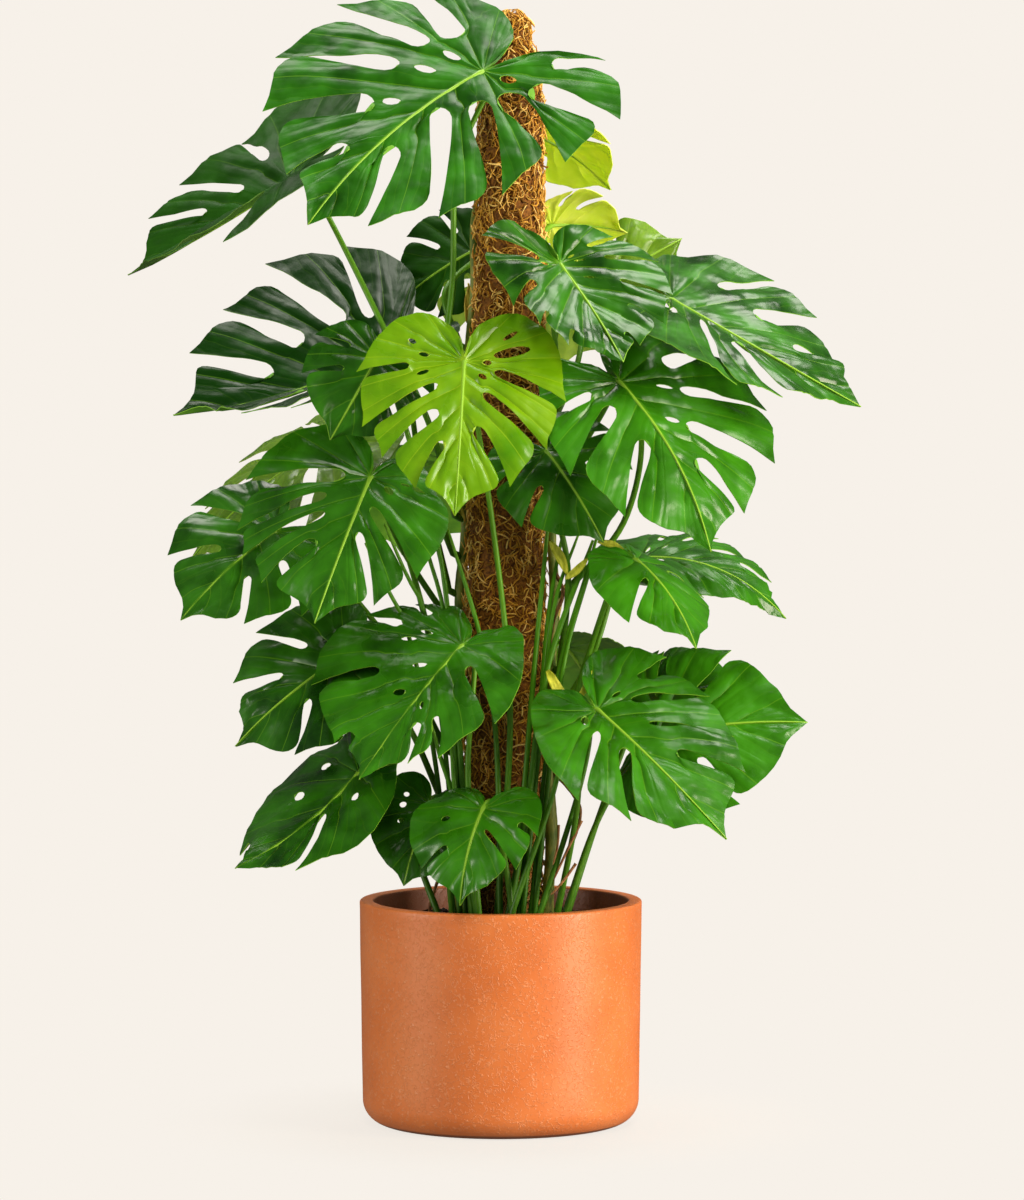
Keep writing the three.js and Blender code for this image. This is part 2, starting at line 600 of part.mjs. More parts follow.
// Leaves: sinus and tip in space, the way the upper face looks [turn to the right, rise], the cuts of
// the left and the right half (as seen with the tip down), and the stalk's start and way.
const LEAVES = [
  {
    name: "leaf_01", sinus: [-18, -90, 1114], tip: [-196, -205, 952], face: [-5, 38],
    spread: [1.02, 0.75], base: [1, 1.15], fold: -0.05, arch: 0.02, droop: 0.05, sway: 0.05,
    cuts: [
      [
        [108, 0.4, 0.07], [83, 0.39, 0.06, 0.22], [57, 0.38, 0.07, 0.24], [33, 0.38, 0.075, 0.27],
        [13, 0.47, 0.05],
      ],
      [
        [140, 0.6, 0.05], [104, 0.39, 0.08, 0.2], [80, 0.26, 0.1], [58, 0.23, 0.07], [38, 0.12, 0.07],
        [16, 0.3, 0.06],
      ],
    ],
    stem: 2, from: 740, route: [[-58, -52, 810], [-50, -66, 900], [-44, -70, 1020]],
  },
  {
    name: "leaf_02", sinus: [-222, -10, 1003], tip: [-395, 10, 902], face: [0, 69],
    spread: [0.82, 0.74], base: [1.7, 1.1], fold: 0.4, arch: 0.02, droop: 0.28, sway: -0.12,
    cuts: [[[75, 0.4, 0.05], [45, 0.25, 0.05], [25, 0.4, 0.04]], [[60, 0.3, 0.05], [30, 0.35, 0.05]]],
    stem: 2, from: 640, route: [[-76, -86, 750], [-116, -94, 835], [-185, -40, 970]],
  },
  {
    name: "leaf_03", sinus: [-122, 20, 821], tip: [-345, -30, 756], face: [-10, 56],
    spread: [1.06, 0.62], base: [0.9, 1.1], fold: 0.28, arch: 0, droop: 0.05, sway: -0.09,
    cuts: [
      [[92, 0.32, 0.05], [63, 0.35, 0.075], [42, 0.42, 0.08], [20, 0.42, 0.06]],
      [[75, 0.4, 0.05], [45, 0.2, 0.06], [27, 0.35, 0.06]],
    ],
    stem: 2, from: 560, route: [[-85, -20, 700]],
  },
  {
    name: "leaf_04", sinus: [-127, -125, 816], tip: [-176, -150, 731], face: [10, 20], cuts: [FEW, FEW],
    stem: 2, from: 600, route: [[-90, -100, 715]],
  },
  {
    name: "leaf_05", sinus: [-37, -165, 814], tip: [-46, -210, 655], face: [4, 18],
    spread: [0.95, 0.91], base: [1, 1.1],
    cuts: [
      [[85, 1, 0.04, 0.35], [53, 0.28, 0.05], [37, 0.35, 0.055], [17, 0.44, 0.05]],
      [[95, 1, 0.04, 0.3], [73, 0.31, 0.05], [48, 0.23, 0.05], [22, 0.3, 0.06]],
    ],
    soil: [-4, -58], route: [[10, -92, 450], [-8, -104, 640]],
  },
  {
    name: "leaf_06", sinus: [62, -120, 914], tip: [125, -200, 812], face: [16, 47],
    spread: [0.78, 1], base: [1.2, 0.8], fold: 0.27, arch: -0.04, droop: 0.25, sway: -0.05,
    cuts: [
      [[112, 0.27, 0.05], [69, 0.6, 0.05], [49, 0.85, 0.03], [30, 0.85, 0.03]],
      [[100, 0.5, 0.03, 0.2], [75, 0.45, 0.03, 0.2], [50, 0.5, 0.03, 0.2], [30, 0.6, 0.03], [11, 0.7, 0.03]],
    ],
    stem: 0, from: 760, route: [[58, -60, 815]],
  },
  {
    name: "leaf_07", sinus: [180, -10, 878], tip: [379, -50, 764], face: [20, 70],
    spread: [0.88, 0.92], base: [1, 0.8], fold: 0.08, arch: 0.05, droop: -0.08, sway: 0.12,
    cuts: [
      [[85, 1, 0.04, 0.2], [47, 0.15, 0.03], [30, 0.3, 0.07]],
      [[66, 0.5, 0.05], [43, 0.5, 0.06], [20, 0.6, 0.05]],
    ],
    stem: 1, from: 640, route: [[110, -10, 760]],
  },
  {
    name: "leaf_08", sinus: [124, -118, 792], tip: [216, -183, 617], face: [23, 51],
    spread: [0.77, 1.15], base: [0.8, 1.1], fold: -0.08, arch: 0.04, droop: 0.17, sway: -0.05,
    cuts: [
      [[85, 0.37, 0.04], [60, 0.28, 0.06], [34, 0.3, 0.07]],
      [[98, 0.47, 0.06], [65, 0.41, 0.05, 0.3], [39, 0.33, 0.06, 0.22], [18, 0.4, 0.06]],
    ],
    stem: 0, from: 560, route: [[130, -16, 640], [146, -62, 745]],
  },
  {
    name: "leaf_09", sinus: [-135, -120, 693], tip: [-191, -200, 546], face: [-11, 42],
    spread: [1.17, 0.75], base: [1.08, 0.8], fold: -0.07, arch: 0.02, droop: 0.3,
    cuts: [
      [[82, 0.2, 0.07], [57, 0.31, 0.05], [42, 0.31, 0.05], [25, 0.43, 0.06]],
      [[92, 0.6, 0.03, 0.5], [70, 1, 0.04, 0.27], [47, 0.18, 0.05], [26, 0.22, 0.05]],
    ],
    stem: 2, from: 430, route: [[-88, -20, 570]],
  },
  {
    name: "leaf_10", sinus: [-238, -20, 632], tip: [-336, -60, 539], face: [-20, 30],
    cuts: [[[70, 0.35, 0.06], [35, 0.4, 0.05]], [[60, 0.4, 0.05], [30, 0.4, 0.05]]],
    stem: 2, from: 390, route: [[-125, 15, 520]],
  },
  {
    name: "leaf_11", sinus: [-184, 125, 723], tip: [-342, 105, 585], face: [-60, 50], cuts: [SOME, SOME],
    stem: 3, from: 480, route: [[-100, 40, 600]],
  },
  {
    name: "leaf_12", sinus: [-40, -110, 518], tip: [-146, -190, 384], face: [-17, 58],
    spread: [1.19, 0.76], base: [0.83, 0.8], fold: 0.05, arch: 0.03, droop: 0.13,
    cuts: [
      [[88, 1, 0.04, 0.42], [70, 1, 0.035, 0.4], [45, 0.58, 0.05], [14, 0.85, 0.03]],
      [[60, 0.31, 0.05], [32, 0.6, 0.04], [20, 0.55, 0.05, 0.3]],
    ],
    soil: [-22, -84], route: [[-34, -96, 380]],
  },
  {
    name: "leaf_13", sinus: [-164, -50, 502], tip: [-279, -60, 406], face: [-15, 45],
    cuts: [[[60, 0.4, 0.05], [30, 0.4, 0.05]], [[60, 0.3, 0.05], [32, 0.35, 0.05]]],
    stem: 2, from: 330, route: [[-100, -30, 430]],
  },
  {
    name: "leaf_14", sinus: [-150, -70, 381], tip: [-276, -130, 285], face: [-11, 70],
    spread: [0.97, 0.6], base: [0.8, 0.8], fold: 0.03, arch: -0.04, droop: 0.15, sway: -0.04,
    cuts: [
      [[75, 1, 0.05, 0.45], [45, 1, 0.06, 0.5], [13, 0.9, 0.03]],
      [[60, 1, 0.05, 0.35], [28, 0.17, 0.05]],
    ],
    soil: [-64, -26], route: [[-112, 12, 335]],
  },
  {
    name: "leaf_15", sinus: [-18, -138, 350], tip: [-42, -168, 250], face: [-18, 34],
    spread: [1.06, 0.9], base: [0.85, 1.1], fold: 0.16, arch: 0.12,
    cuts: [[[59, 1, 0.05, 0.46], [30, 0.5, 0.04]], [[75, 0.7, 0.05], [44, 0.22, 0.04]]],
    soil: [14, -74], route: [[4, -78, 290]],
  },
  {
    name: "leaf_16", sinus: [-75, -57, 347], tip: [-102, -72, 260], face: [-15, 30],
    cuts: [[[95, 1, 0.05, 0.5], [70, 1, 0.06, 0.45], [48, 1, 0.05, 0.45]], FEW],
    soil: [-50, -54], route: [[-58, -60, 300]],
  },
  {
    name: "leaf_17", sinus: [101, -110, 451], tip: [234, -170, 319], face: [15, 53],
    spread: [0.83, 0.96], base: [0.86, 0.94], fold: 0.1, arch: 0.07, droop: 0.16, sway: 0.04,
    cuts: [
      [[80, 1, 0.04, 0.25], [59, 0.25, 0.04], [37, 0.21, 0.06]],
      [[92, 0.6, 0.04, 0.27], [68, 0.3, 0.04], [46, 0.29, 0.03], [26, 0.43, 0.05]],
    ],
    soil: [58, -50], route: [[80, -75, 340]],
  },
  {
    name: "leaf_18", sinus: [163, -30, 416], tip: [324, -40, 429], face: [15, 40], cuts: [FEW, FEW],
    soil: [66, -26], route: [[105, -30, 330]],
  },
  {
    name: "leaf_19", sinus: [159, 30, 454], tip: [256, 20, 461], face: [25, 40], cuts: [FEW, FEW],
    soil: [70, 6], route: [[110, 20, 340]],
  },
  {
    name: "leaf_20", sinus: [142, -105, 607], tip: [203, -165, 517], face: [37, 61],
    spread: [0.74, 0.88], base: [0.8, 0.8], fold: -0.08, droop: 0.34, sway: -0.03,
    cuts: [[[45, 0.24, 0.05]], [[60, 0.4, 0.05]]],
    stem: 0, from: 400, route: [[92, -40, 500]],
  },
  {
    name: "leaf_21", sinus: [148, 15, 603], tip: [304, 0, 539], face: [30, 72],
    spread: [0.62, 1], base: [0.75, 1.15], fold: 0.11, arch: 0.12, droop: 0.25, sway: -0.03,
    cuts: [
      [[60, 1, 0.04, 0.3], [35, 1, 0.04, 0.35]],
      [[80, 0.5, 0.03, 0.2], [60, 0.5, 0.03, 0.25], [40, 0.5, 0.04], [20, 0.6, 0.04]],
    ],
    stem: 1, from: 400, route: [[98, 0, 500]],
  },
  {
    name: "leaf_22", sinus: [48, -65, 718], tip: [108, -90, 622], face: [15, 25], cuts: [FEW, FEW],
    stem: 0, from: 480, route: [[70, -62, 600]],
  },
  {
    name: "leaf_23", sinus: [53, 70, 955], tip: [136, 90, 947], face: [150, 30], cuts: [FEW, FEW],
    stem: 1, from: 760, route: [[60, 60, 850]],
  },
  {
    name: "leaf_24", sinus: [38, 75, 1052], tip: [119, 110, 992], face: [150, 40], cuts: [FEW, FEW],
    stem: 1, from: 860, route: [[10, 104, 950]],
  },
  {
    name: "leaf_25", sinus: [-31, 100, 927], tip: [-111, 110, 870], face: [-30, 20], cuts: [FEW, SOME],
    stem: 2, from: 820, route: [[-60, 40, 880]],
  },
  {
    name: "leaf_26", sinus: [107, 125, 890], tip: [196, 145, 940], face: [30, 20], cuts: [FEW, FEW],
    stem: 1, from: 700, route: [[80, 60, 800]],
  },
  {
    name: "leaf_27", sinus: [30, 210, 900], tip: [60, 330, 788], face: [165, 35], cuts: [FEW, FEW],
    stem: 3, from: 720, route: [[5, 100, 810]],
  },
  {
    name: "leaf_28", sinus: [-50, 200, 699], tip: [-111, 325, 588], face: [200, 35], cuts: [FEW, FEW],
    stem: 3, from: 540, route: [[-35, 105, 620]],
  },
  {
    name: "leaf_29", sinus: [70, 150, 500], tip: [120, 260, 390], face: [150, 35], cuts: [FEW, FEW],
    stem: 1, from: 350, route: [[55, 100, 420]],
  },
];

function meshOf(name, geometry, color, roughness) {
  const material = new THREE.MeshStandardMaterial({ color, roughness, metalness: 0 });
  const mesh = new THREE.Mesh(geometry, material);
  mesh.name = name;
  return mesh;
}

// The holes for the sleeve and for the stake below it.
function poleHoles() {
  const [low, high] = [SLEEVE_BOTTOM - FIT_GAP, SOIL_TOP + 20];
  const wide = sleeveRadius(high) + 2 * FIT_GAP;
  const sleeve = new THREE.CylinderGeometry(wide, wide, high - low, SLEEVE_SIDES);
  sleeve.rotateX(Math.PI / 2).translate(0, 0, (high + low) / 2);
  const narrow = STAKE_RADIUS + 2 * FIT_GAP;
  const stake = new THREE.CylinderGeometry(narrow, narrow, SLEEVE_BOTTOM, STAKE_SIDES);
  stake.rotateX(Math.PI / 2).translate(0, 0, SLEEVE_BOTTOM / 2 + 2);
  for (const geometry of [sleeve, stake]) {
    const places = geometry.attributes.position;
    for (let i = 0; i < places.count; i++) places.setX(i, places.getX(i) + poleX(places.getZ(i)));
  }
  return toSolid(sleeve).add(toSolid(stake));
}

const plant = new THREE.Group();
plant.add(meshOf("pot", makePot(), "#d9824f", 0.55));
plant.add(meshOf("pole_stake", makeStake(), "#a9794a", 0.8));
plant.add(meshOf("coir_sleeve", makeSleeve(), "#a8692d", 0.95));

const stemCutters = STEMS.map((stem) => makeStem(stem, FIT_GAP));
const soilCutters = [poleHoles(), ...stemCutters];
for (const stem of STEMS) plant.add(meshOf(stem.name, toGeometry(makeStem(stem, 0)), "#5d7a2c", 0.6));
for (const leaf of LEAVES) {
  const solid = makeLeaf(leaf, stemCutters, soilCutters);
  plant.add(meshOf(leaf.name, toGeometry(solid), "#1f6a16", 0.35));
}
for (const root of ROOTS) {
  const solid = makeRoot(root, stemCutters, soilCutters);
  plant.add(meshOf(root.name, toGeometry(solid), "#8a5a30", 0.85));
}
const soil = soilCutters.reduce((rest, cutter) => rest.subtract(cutter), toSolid(makeSoil()));
plant.add(meshOf("potting_soil", toGeometry(soil), "#2c1c12", 0.98));

export default plant;
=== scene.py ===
"""A potted swiss cheese vine on a coir moss pole in a terracotta cylinder pot, dressed for its render.

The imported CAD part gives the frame. Sizes are millimetres until a mesh is made, and then metres.
The studio and the shader nodes work in metres.
"""

import logging
import math
from dataclasses import dataclass
from enum import Enum

import bpy
import numpy as np
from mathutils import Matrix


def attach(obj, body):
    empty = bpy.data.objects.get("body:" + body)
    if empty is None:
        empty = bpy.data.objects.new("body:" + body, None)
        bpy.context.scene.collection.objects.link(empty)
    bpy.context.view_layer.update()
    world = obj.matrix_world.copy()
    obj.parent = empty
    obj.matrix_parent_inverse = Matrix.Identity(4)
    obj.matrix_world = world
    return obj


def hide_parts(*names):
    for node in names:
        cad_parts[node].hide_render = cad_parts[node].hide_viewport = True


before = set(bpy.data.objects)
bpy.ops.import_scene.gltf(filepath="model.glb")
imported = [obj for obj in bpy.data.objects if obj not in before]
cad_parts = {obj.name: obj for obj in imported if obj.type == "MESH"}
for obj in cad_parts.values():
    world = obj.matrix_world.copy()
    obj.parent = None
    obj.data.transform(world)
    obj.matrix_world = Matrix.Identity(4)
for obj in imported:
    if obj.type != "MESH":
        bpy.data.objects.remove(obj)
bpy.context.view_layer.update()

logging.basicConfig(level=logging.INFO, format="%(message)s")
log = logging.getLogger("swiss_cheese_vine")

MM = 0.001
Array = np.ndarray
Point = tuple[float, float, float]
Span = tuple[float, float]
Pairs = tuple[Span, ...]
Socket = bpy.types.NodeSocket

# The numbers that each vertex of a blade carries for its skin. vein and rib are its distances from the
# nearest main vein and from the midrib as shares of their thickness, lane is the first of them in
# millimetres, and tone is how light the leaf is.
BLADE_MARKS = ("vein", "rib", "lane", "tone")

# Heights and radii that several classes share, as in the CAD part.
SOIL_TOP = 214.0
SLEEVE_TOP = 1178.0
POLE_LEAN = 11.0
SLEEVE_PROFILE: Pairs = (
    (44, 42), (500, 42.5), (760, 39), (950, 36), (1090, 33.5), (1120, 29), (1150, 20.5), (1172, 17.5),
)


def linear(colour: str) -> tuple[float, float, float, float]:
    """Turns an sRGB hex colour into the linear colour that a shader takes.

    Args:
        colour: the colour as #rrggbb.

    Returns:
        Red, green, blue and an alpha of 1.
    """
    parts = [int(colour[i : i + 2], 16) / 255 for i in (1, 3, 5)]
    lit = [c / 12.92 if c <= 0.04045 else ((c + 0.055) / 1.055) ** 2.4 for c in parts]
    return lit[0], lit[1], lit[2], 1.0


def smooth(share: Array | float) -> Array:
    """Rises smoothly from 0 to 1 as a share goes from 0 to 1.

    Args:
        share: the share, which may lie outside 0 to 1.

    Returns:
        The eased share.
    """
    part = np.clip(share, 0.0, 1.0)
    return part * part * (3 - 2 * part)


def chart(pairs: Pairs, place: Array | float) -> Array:
    """Reads a line chart at a place.

    Args:
        pairs: the chart's (place, value) points in rising order.
        place: where it is read.

    Returns:
        The value there.
    """
    return np.interp(place, [p for p, _ in pairs], [v for _, v in pairs])


def eased_chart(pairs: Pairs, place: Array) -> Array:
    """Reads a chart along a smooth line through its points that never overshoots them.

    Args:
        pairs: the chart's (place, value) points in rising order.
        place: where it is read.

    Returns:
        The value there.
    """
    x, y = (np.array(column, float) for column in zip(*pairs))
    rise = np.diff(y) / np.diff(x)
    slopes = np.zeros(len(x))
    same = rise[:-1] * rise[1:] > 0
    slopes[1:-1][same] = 2 / (1 / rise[:-1][same] + 1 / rise[1:][same])
    slopes[0], slopes[-1] = rise[0], rise[-1]
    i = np.clip(np.searchsorted(x, place) - 1, 0, len(rise) - 1)
    step = x[i + 1] - x[i]
    t = np.clip((place - x[i]) / step, 0, 1)
    low = y[i] * (1 + 2 * t) * (1 - t) ** 2 + slopes[i] * step * t * (1 - t) ** 2
    high = y[i + 1] * t * t * (3 - 2 * t) + slopes[i + 1] * step * t * t * (t - 1)
    return low + high


def unit(vector: Array) -> Array:
    """Gives vectors a length of 1.

    Args:
        vector: one vector or an array of them.

    Returns:
        The same directions at length 1.
    """
    return vector / np.maximum(np.linalg.norm(vector, axis=-1, keepdims=True), 1e-9)


def smooth_line(points: list[Array], count: int) -> Array:
    """Evenly spaced places along a centripetal Catmull-Rom curve.

    Args:
        points: the points that the curve passes through.
        count: how many places are given back.

    Returns:
        The places, one row each.
    """
    known = np.array(points, float)
    padded = np.vstack([2 * known[0] - known[1], known, 2 * known[-1] - known[-2]])
    t = np.linspace(0, 1, 30, endpoint=False)[:, None]
    dense = []
    for p0, p1, p2, p3 in zip(padded, padded[1:], padded[2:], padded[3:]):
        d0, d1, d2 = (max(math.sqrt(math.dist(a, b)), 1e-3) for a, b in ((p0, p1), (p1, p2), (p2, p3)))
        leave = ((p1 - p0) / d0 - (p2 - p0) / (d0 + d1) + (p2 - p1) / d1) * d1
        arrive = ((p2 - p1) / d1 - (p3 - p1) / (d1 + d2) + (p3 - p2) / d2) * d1
        cubic = 2 * p1 - 2 * p2 + leave + arrive
        square = -3 * p1 + 3 * p2 - 2 * leave - arrive
        dense.append(p1 + leave * t + square * t**2 + cubic * t**3)
    line = np.vstack([*dense, known[-1:]])
    run = np.concatenate([[0], np.cumsum(np.linalg.norm(np.diff(line, axis=0), axis=1))])
    take = np.linspace(0, run[-1], count)
    return np.column_stack([np.interp(take, run, line[:, k]) for k in range(3)])


def pole_x(height: Array | float) -> Array | float:
    """Where the middle of the leaning pole is at a height."""
    return 1 + POLE_LEAN * (height - SOIL_TOP) / (SLEEVE_TOP - SOIL_TOP)


def feed_node(tree: bpy.types.NodeTree, node: bpy.types.Node, feed: dict) -> None:
    """Sets or links the inputs of a shader node.

    Args:
        tree: the node tree it is in.
        node: the node.
        feed: by input name or number, a value or the output socket that feeds it.
    """
    for key, value in feed.items():
        if isinstance(value, bpy.types.NodeSocket):
            tree.links.new(value, node.inputs[key])
        else:
            node.inputs[key].default_value = value


def add_node(
    tree: bpy.types.NodeTree, kind: str, feed: dict | None = None, **settings: object
) -> bpy.types.Node:
    """Adds a shader node with its settings and links.

    Args:
        tree: the node tree it goes into.
        kind: the node's type.
        feed: by input name or number, a value or the output socket that feeds it.
        settings: the node's own properties.

    Returns:
        The new node.
    """
    node = tree.nodes.new(kind)
    for name, value in settings.items():
        setattr(node, name, value)
    feed_node(tree, node, feed or {})
    return node


def noise(tree: bpy.types.NodeTree, place: Socket, scale: float, detail: float, swirl: float = 0.0) -> Socket:
    """Adds a noise pattern.

    Args:
        tree: the node tree.
        place: gives the places, in metres.
        scale: how many of its waves fit into a metre, so a scale of 100 is 10 mm.
        detail: how many finer noises lie over it.
        swirl: how far it is swirled.

    Returns:
        Its value, mostly from 0.3 to 0.7.
    """
    feed = {"Vector": place, "Scale": scale, "Detail": detail, "Distortion": swirl}
    return add_node(tree, "ShaderNodeTexNoise", feed).outputs[0]


def remap(tree: bpy.types.NodeTree, value: Socket, start: Span, end: Span, soft: bool = False) -> Socket:
    """Carries a value from one range over into another and holds it at both ends.

    Args:
        tree: the node tree.
        value: what is carried over.
        start: the two ends of the range it comes in.
        end: what they become.
        soft: whether it eases in and out.

    Returns:
        The new value.
    """
    feed = dict(enumerate((value, *start, *end)))
    way = "SMOOTHSTEP" if soft else "LINEAR"
    return add_node(tree, "ShaderNodeMapRange", feed, interpolation_type=way).outputs[0]


def reckon(tree: bpy.types.NodeTree, operation: str, *values: object) -> Socket:
    """Adds one step of arithmetic.

    Args:
        tree: the node tree.
        operation: Blender's name of the step.
        values: numbers or sockets.

    Returns:
        The result.
    """
    return add_node(tree, "ShaderNodeMath", dict(enumerate(values)), operation=operation).outputs[0]


def ramp(tree: bpy.types.NodeTree, value: Socket, *stops: tuple[float, str]) -> Socket:
    """Turns a value into a colour.

    Args:
        tree: the node tree.
        value: what picks the colour.
        stops: each one's place from 0 to 1 and hex colour.

    Returns:
        The colour.
    """
    node = add_node(tree, "ShaderNodeValToRGB", {0: value})
    for i, (place, colour) in enumerate(stops):
        elements = node.color_ramp.elements
        stop = elements[i] if i < 2 else elements.new(place)
        stop.position = place
        stop.color = linear(colour)
    return node.outputs[0]


def relief(tree: bpy.types.NodeTree, height: Socket, strength: float, depth: float) -> Socket:
    """Turns a height pattern into small bumps in the light.

    Args:
        tree: the node tree.
        height: the pattern, where 1 is the full depth.
        strength: how plainly the bumps show.
        depth: how deep they are, in metres.

    Returns:
        The bent normal.
    """
    feed = {"Height": height, "Strength": strength, "Distance": depth}
    return add_node(tree, "ShaderNodeBump", feed).outputs[0]


def mark(tree: bpy.types.NodeTree, name: str) -> Socket:
    """Reads the number that each vertex of the piece carries under a name."""
    return add_node(tree, "ShaderNodeAttribute", attribute_name=name).outputs["Fac"]


def mix_colour(
    tree: bpy.types.NodeTree, share: object, first: object, second: object, blend: str = "MIX"
) -> Socket:
    """Blends two colours.

    Args:
        tree: the node tree.
        share: how much of the second colour shows.
        first: a hex colour or the socket that gives it.
        second: a hex colour or the socket that gives it.
        blend: the way they are blended.

    Returns:
        The blended colour.
    """
    pair = [linear(c) if isinstance(c, str) else c for c in (first, second)]
    feed = {0: share, 6: pair[0], 7: pair[1]}
    return add_node(tree, "ShaderNodeMix", feed, data_type="RGBA", blend_type=blend).outputs[2]


def new_material(
    name: str,
) -> tuple[bpy.types.Material, bpy.types.NodeTree, bpy.types.Node, Socket]:
    """Starts a material that holds one Principled shader.

    Args:
        name: the material's name.

    Returns:
        The material, its node tree, the shader, and the socket that gives places on the piece.
    """
    material = bpy.data.materials.new(name)
    material.use_nodes = True
    tree = material.node_tree
    place = add_node(tree, "ShaderNodeTexCoord").outputs["Object"]
    return material, tree, tree.nodes["Principled BSDF"], place


def settle(piece: bpy.types.Object, slot: str, *nodes: str) -> None:
    """Ties a finished piece to the frame and reports it.

    Args:
        piece: the piece, whose object sits at the origin.
        slot: the record's material slot; not used.
        nodes: the CAD nodes that it stands for.
    """
    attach(piece, "root")
    if nodes:
        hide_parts(*nodes)
    log.info("%s: %d faces", piece.name, len(piece.data.polygons))


def activate(piece: bpy.types.Object) -> None:
    """Makes one piece the only selected one and the active one.

    Args:
        piece: the piece.
    """
    bpy.ops.object.select_all(action="DESELECT")
    piece.select_set(True)
    bpy.context.view_layer.objects.active = piece


def apply_modifiers(piece: bpy.types.Object) -> None:
    """Applies all of a piece's modifiers in their order.

    Args:
        piece: the piece.
    """
    activate(piece)
    for modifier in list(piece.modifiers):
        bpy.ops.object.modifier_apply(modifier=modifier.name)


def smooth_by_angle(piece: bpy.types.Object, degrees: float) -> None:
    """Shades a piece smoothly, apart from its sharper edges.

    Args:
        piece: the piece.
        degrees: the angle from which an edge stays sharp.
    """
    activate(piece)
    bpy.ops.object.shade_smooth_by_angle(angle=math.radians(degrees))


def add_object(name: str, data: bpy.types.ID) -> bpy.types.Object:
    """Makes an object in the scene.

    Args:
        name: its name.
        data: its mesh, light or camera.

    Returns:
        The new object.
    """
    made = bpy.data.objects.new(name, data)
    bpy.context.scene.collection.objects.link(made)
    return made


def thicken(piece: bpy.types.Object, thickness: float, offset: float = 0.0, **settings: object) -> None:
    """Gives a sheet its thickness with an applied Solidify modifier.

    Args:
        piece: the sheet.
        thickness: in millimetres.
        offset: 0 for half to each side, and -1 for all of it below the sheet.
        settings: the modifier's other properties.
    """
    solid = piece.modifiers.new("thickness", "SOLIDIFY")
    solid.thickness, solid.offset = thickness * MM, offset
    for name, value in settings.items():
        setattr(solid, name, value)
    apply_modifiers(piece)


def sheet_piece(
    name: str,
    points: Array,
    faces: list,
    materials: list[bpy.types.Material],
    marks: dict[str, Array] | None = None,
) -> bpy.types.Object:
    """Makes a smooth mesh object from points in millimetres.

    Args:
        name: the piece's name.
        points: the vertices, one row each.
        faces: the faces as lists of vertex numbers.
        materials: the piece's materials.
        marks: by name, one number for each vertex, which a material reads.

    Returns:
        The new object.
    """
    mesh = bpy.data.meshes.new(name)
    mesh.from_pydata((points * MM).tolist(), [], faces)
    for label, values in (marks or {}).items():
        mesh.attributes.new(label, "FLOAT", "POINT").data.foreach_set("value", values.astype(np.float32))
    for material in materials:
        mesh.materials.append(material)
    mesh.polygons.foreach_set("use_smooth", [True] * len(mesh.polygons))
    mesh.update()
    return add_object(name, mesh)


def grid_faces(rows: int, columns: int) -> list[list[int]]:
    """The faces of a sheet whose vertices stand in rows and columns.

    Args:
        rows: how many rows there are.
        columns: how many vertices a row has.

    Returns:
        The faces as lists of vertex numbers.
    """
    return [
        [i * columns + k, i * columns + k + 1, (i + 1) * columns + k + 1, (i + 1) * columns + k]
        for i in range(rows - 1)
        for k in range(columns - 1)
    ]


def ring_faces(rings: int, sides: int) -> list[list[int]]:
    """The side faces of a tube whose vertices stand in rings.

    Args:
        rings: how many rings there are.
        sides: how many vertices a ring has.

    Returns:
        The faces as lists of vertex numbers.
    """
    return [
        [i * sides + k, i * sides + (k + 1) % sides, (i + 1) * sides + (k + 1) % sides, (i + 1) * sides + k]
        for i in range(rings - 1)
        for k in range(sides)
    ]


def join_shapes(shapes: list[tuple[Array, list]]) -> tuple[Array, list]:
    """Puts several shapes into one mesh.

    Args:
        shapes: the vertices and the faces of each.

    Returns:
        The vertices and the faces of all of them.
    """
    points, faces, count = [], [], 0
    for made, laid in shapes:
        points.append(made)
        faces += [[n + count for n in face] for face in laid]
        count += len(made)
    return np.vstack(points), faces


def tube(points: Array, radii: Array, sides: int) -> tuple[Array, list]:
    """A closed tube along a line.

    Args:
        points: the places of its rings' middles.
        radii: each ring's radius.
        sides: how many sides it has.

    Returns:
        The vertices, and the faces as lists of their numbers.
    """
    along = unit(np.gradient(points, axis=0))
    helper = np.array([1.0, 0, 0]) if abs(along[0][2]) > 0.9 else np.array([0, 0, 1.0])
    across = unit(np.cross(helper, along[0]))
    turn = 2 * np.pi * np.arange(sides) / sides
    rings = []
    for place, way, radius in zip(points, along, radii):
        across = unit(across - way * across.dot(way))
        third = np.cross(way, across)
        rings.append(place + radius * (np.outer(np.cos(turn), across) + np.outer(np.sin(turn), third)))
    last = (len(points) - 1) * sides
    faces = ring_faces(len(points), sides)
    faces += [list(range(sides))[::-1], list(range(last, last + sides))]
    return np.vstack(rings), faces


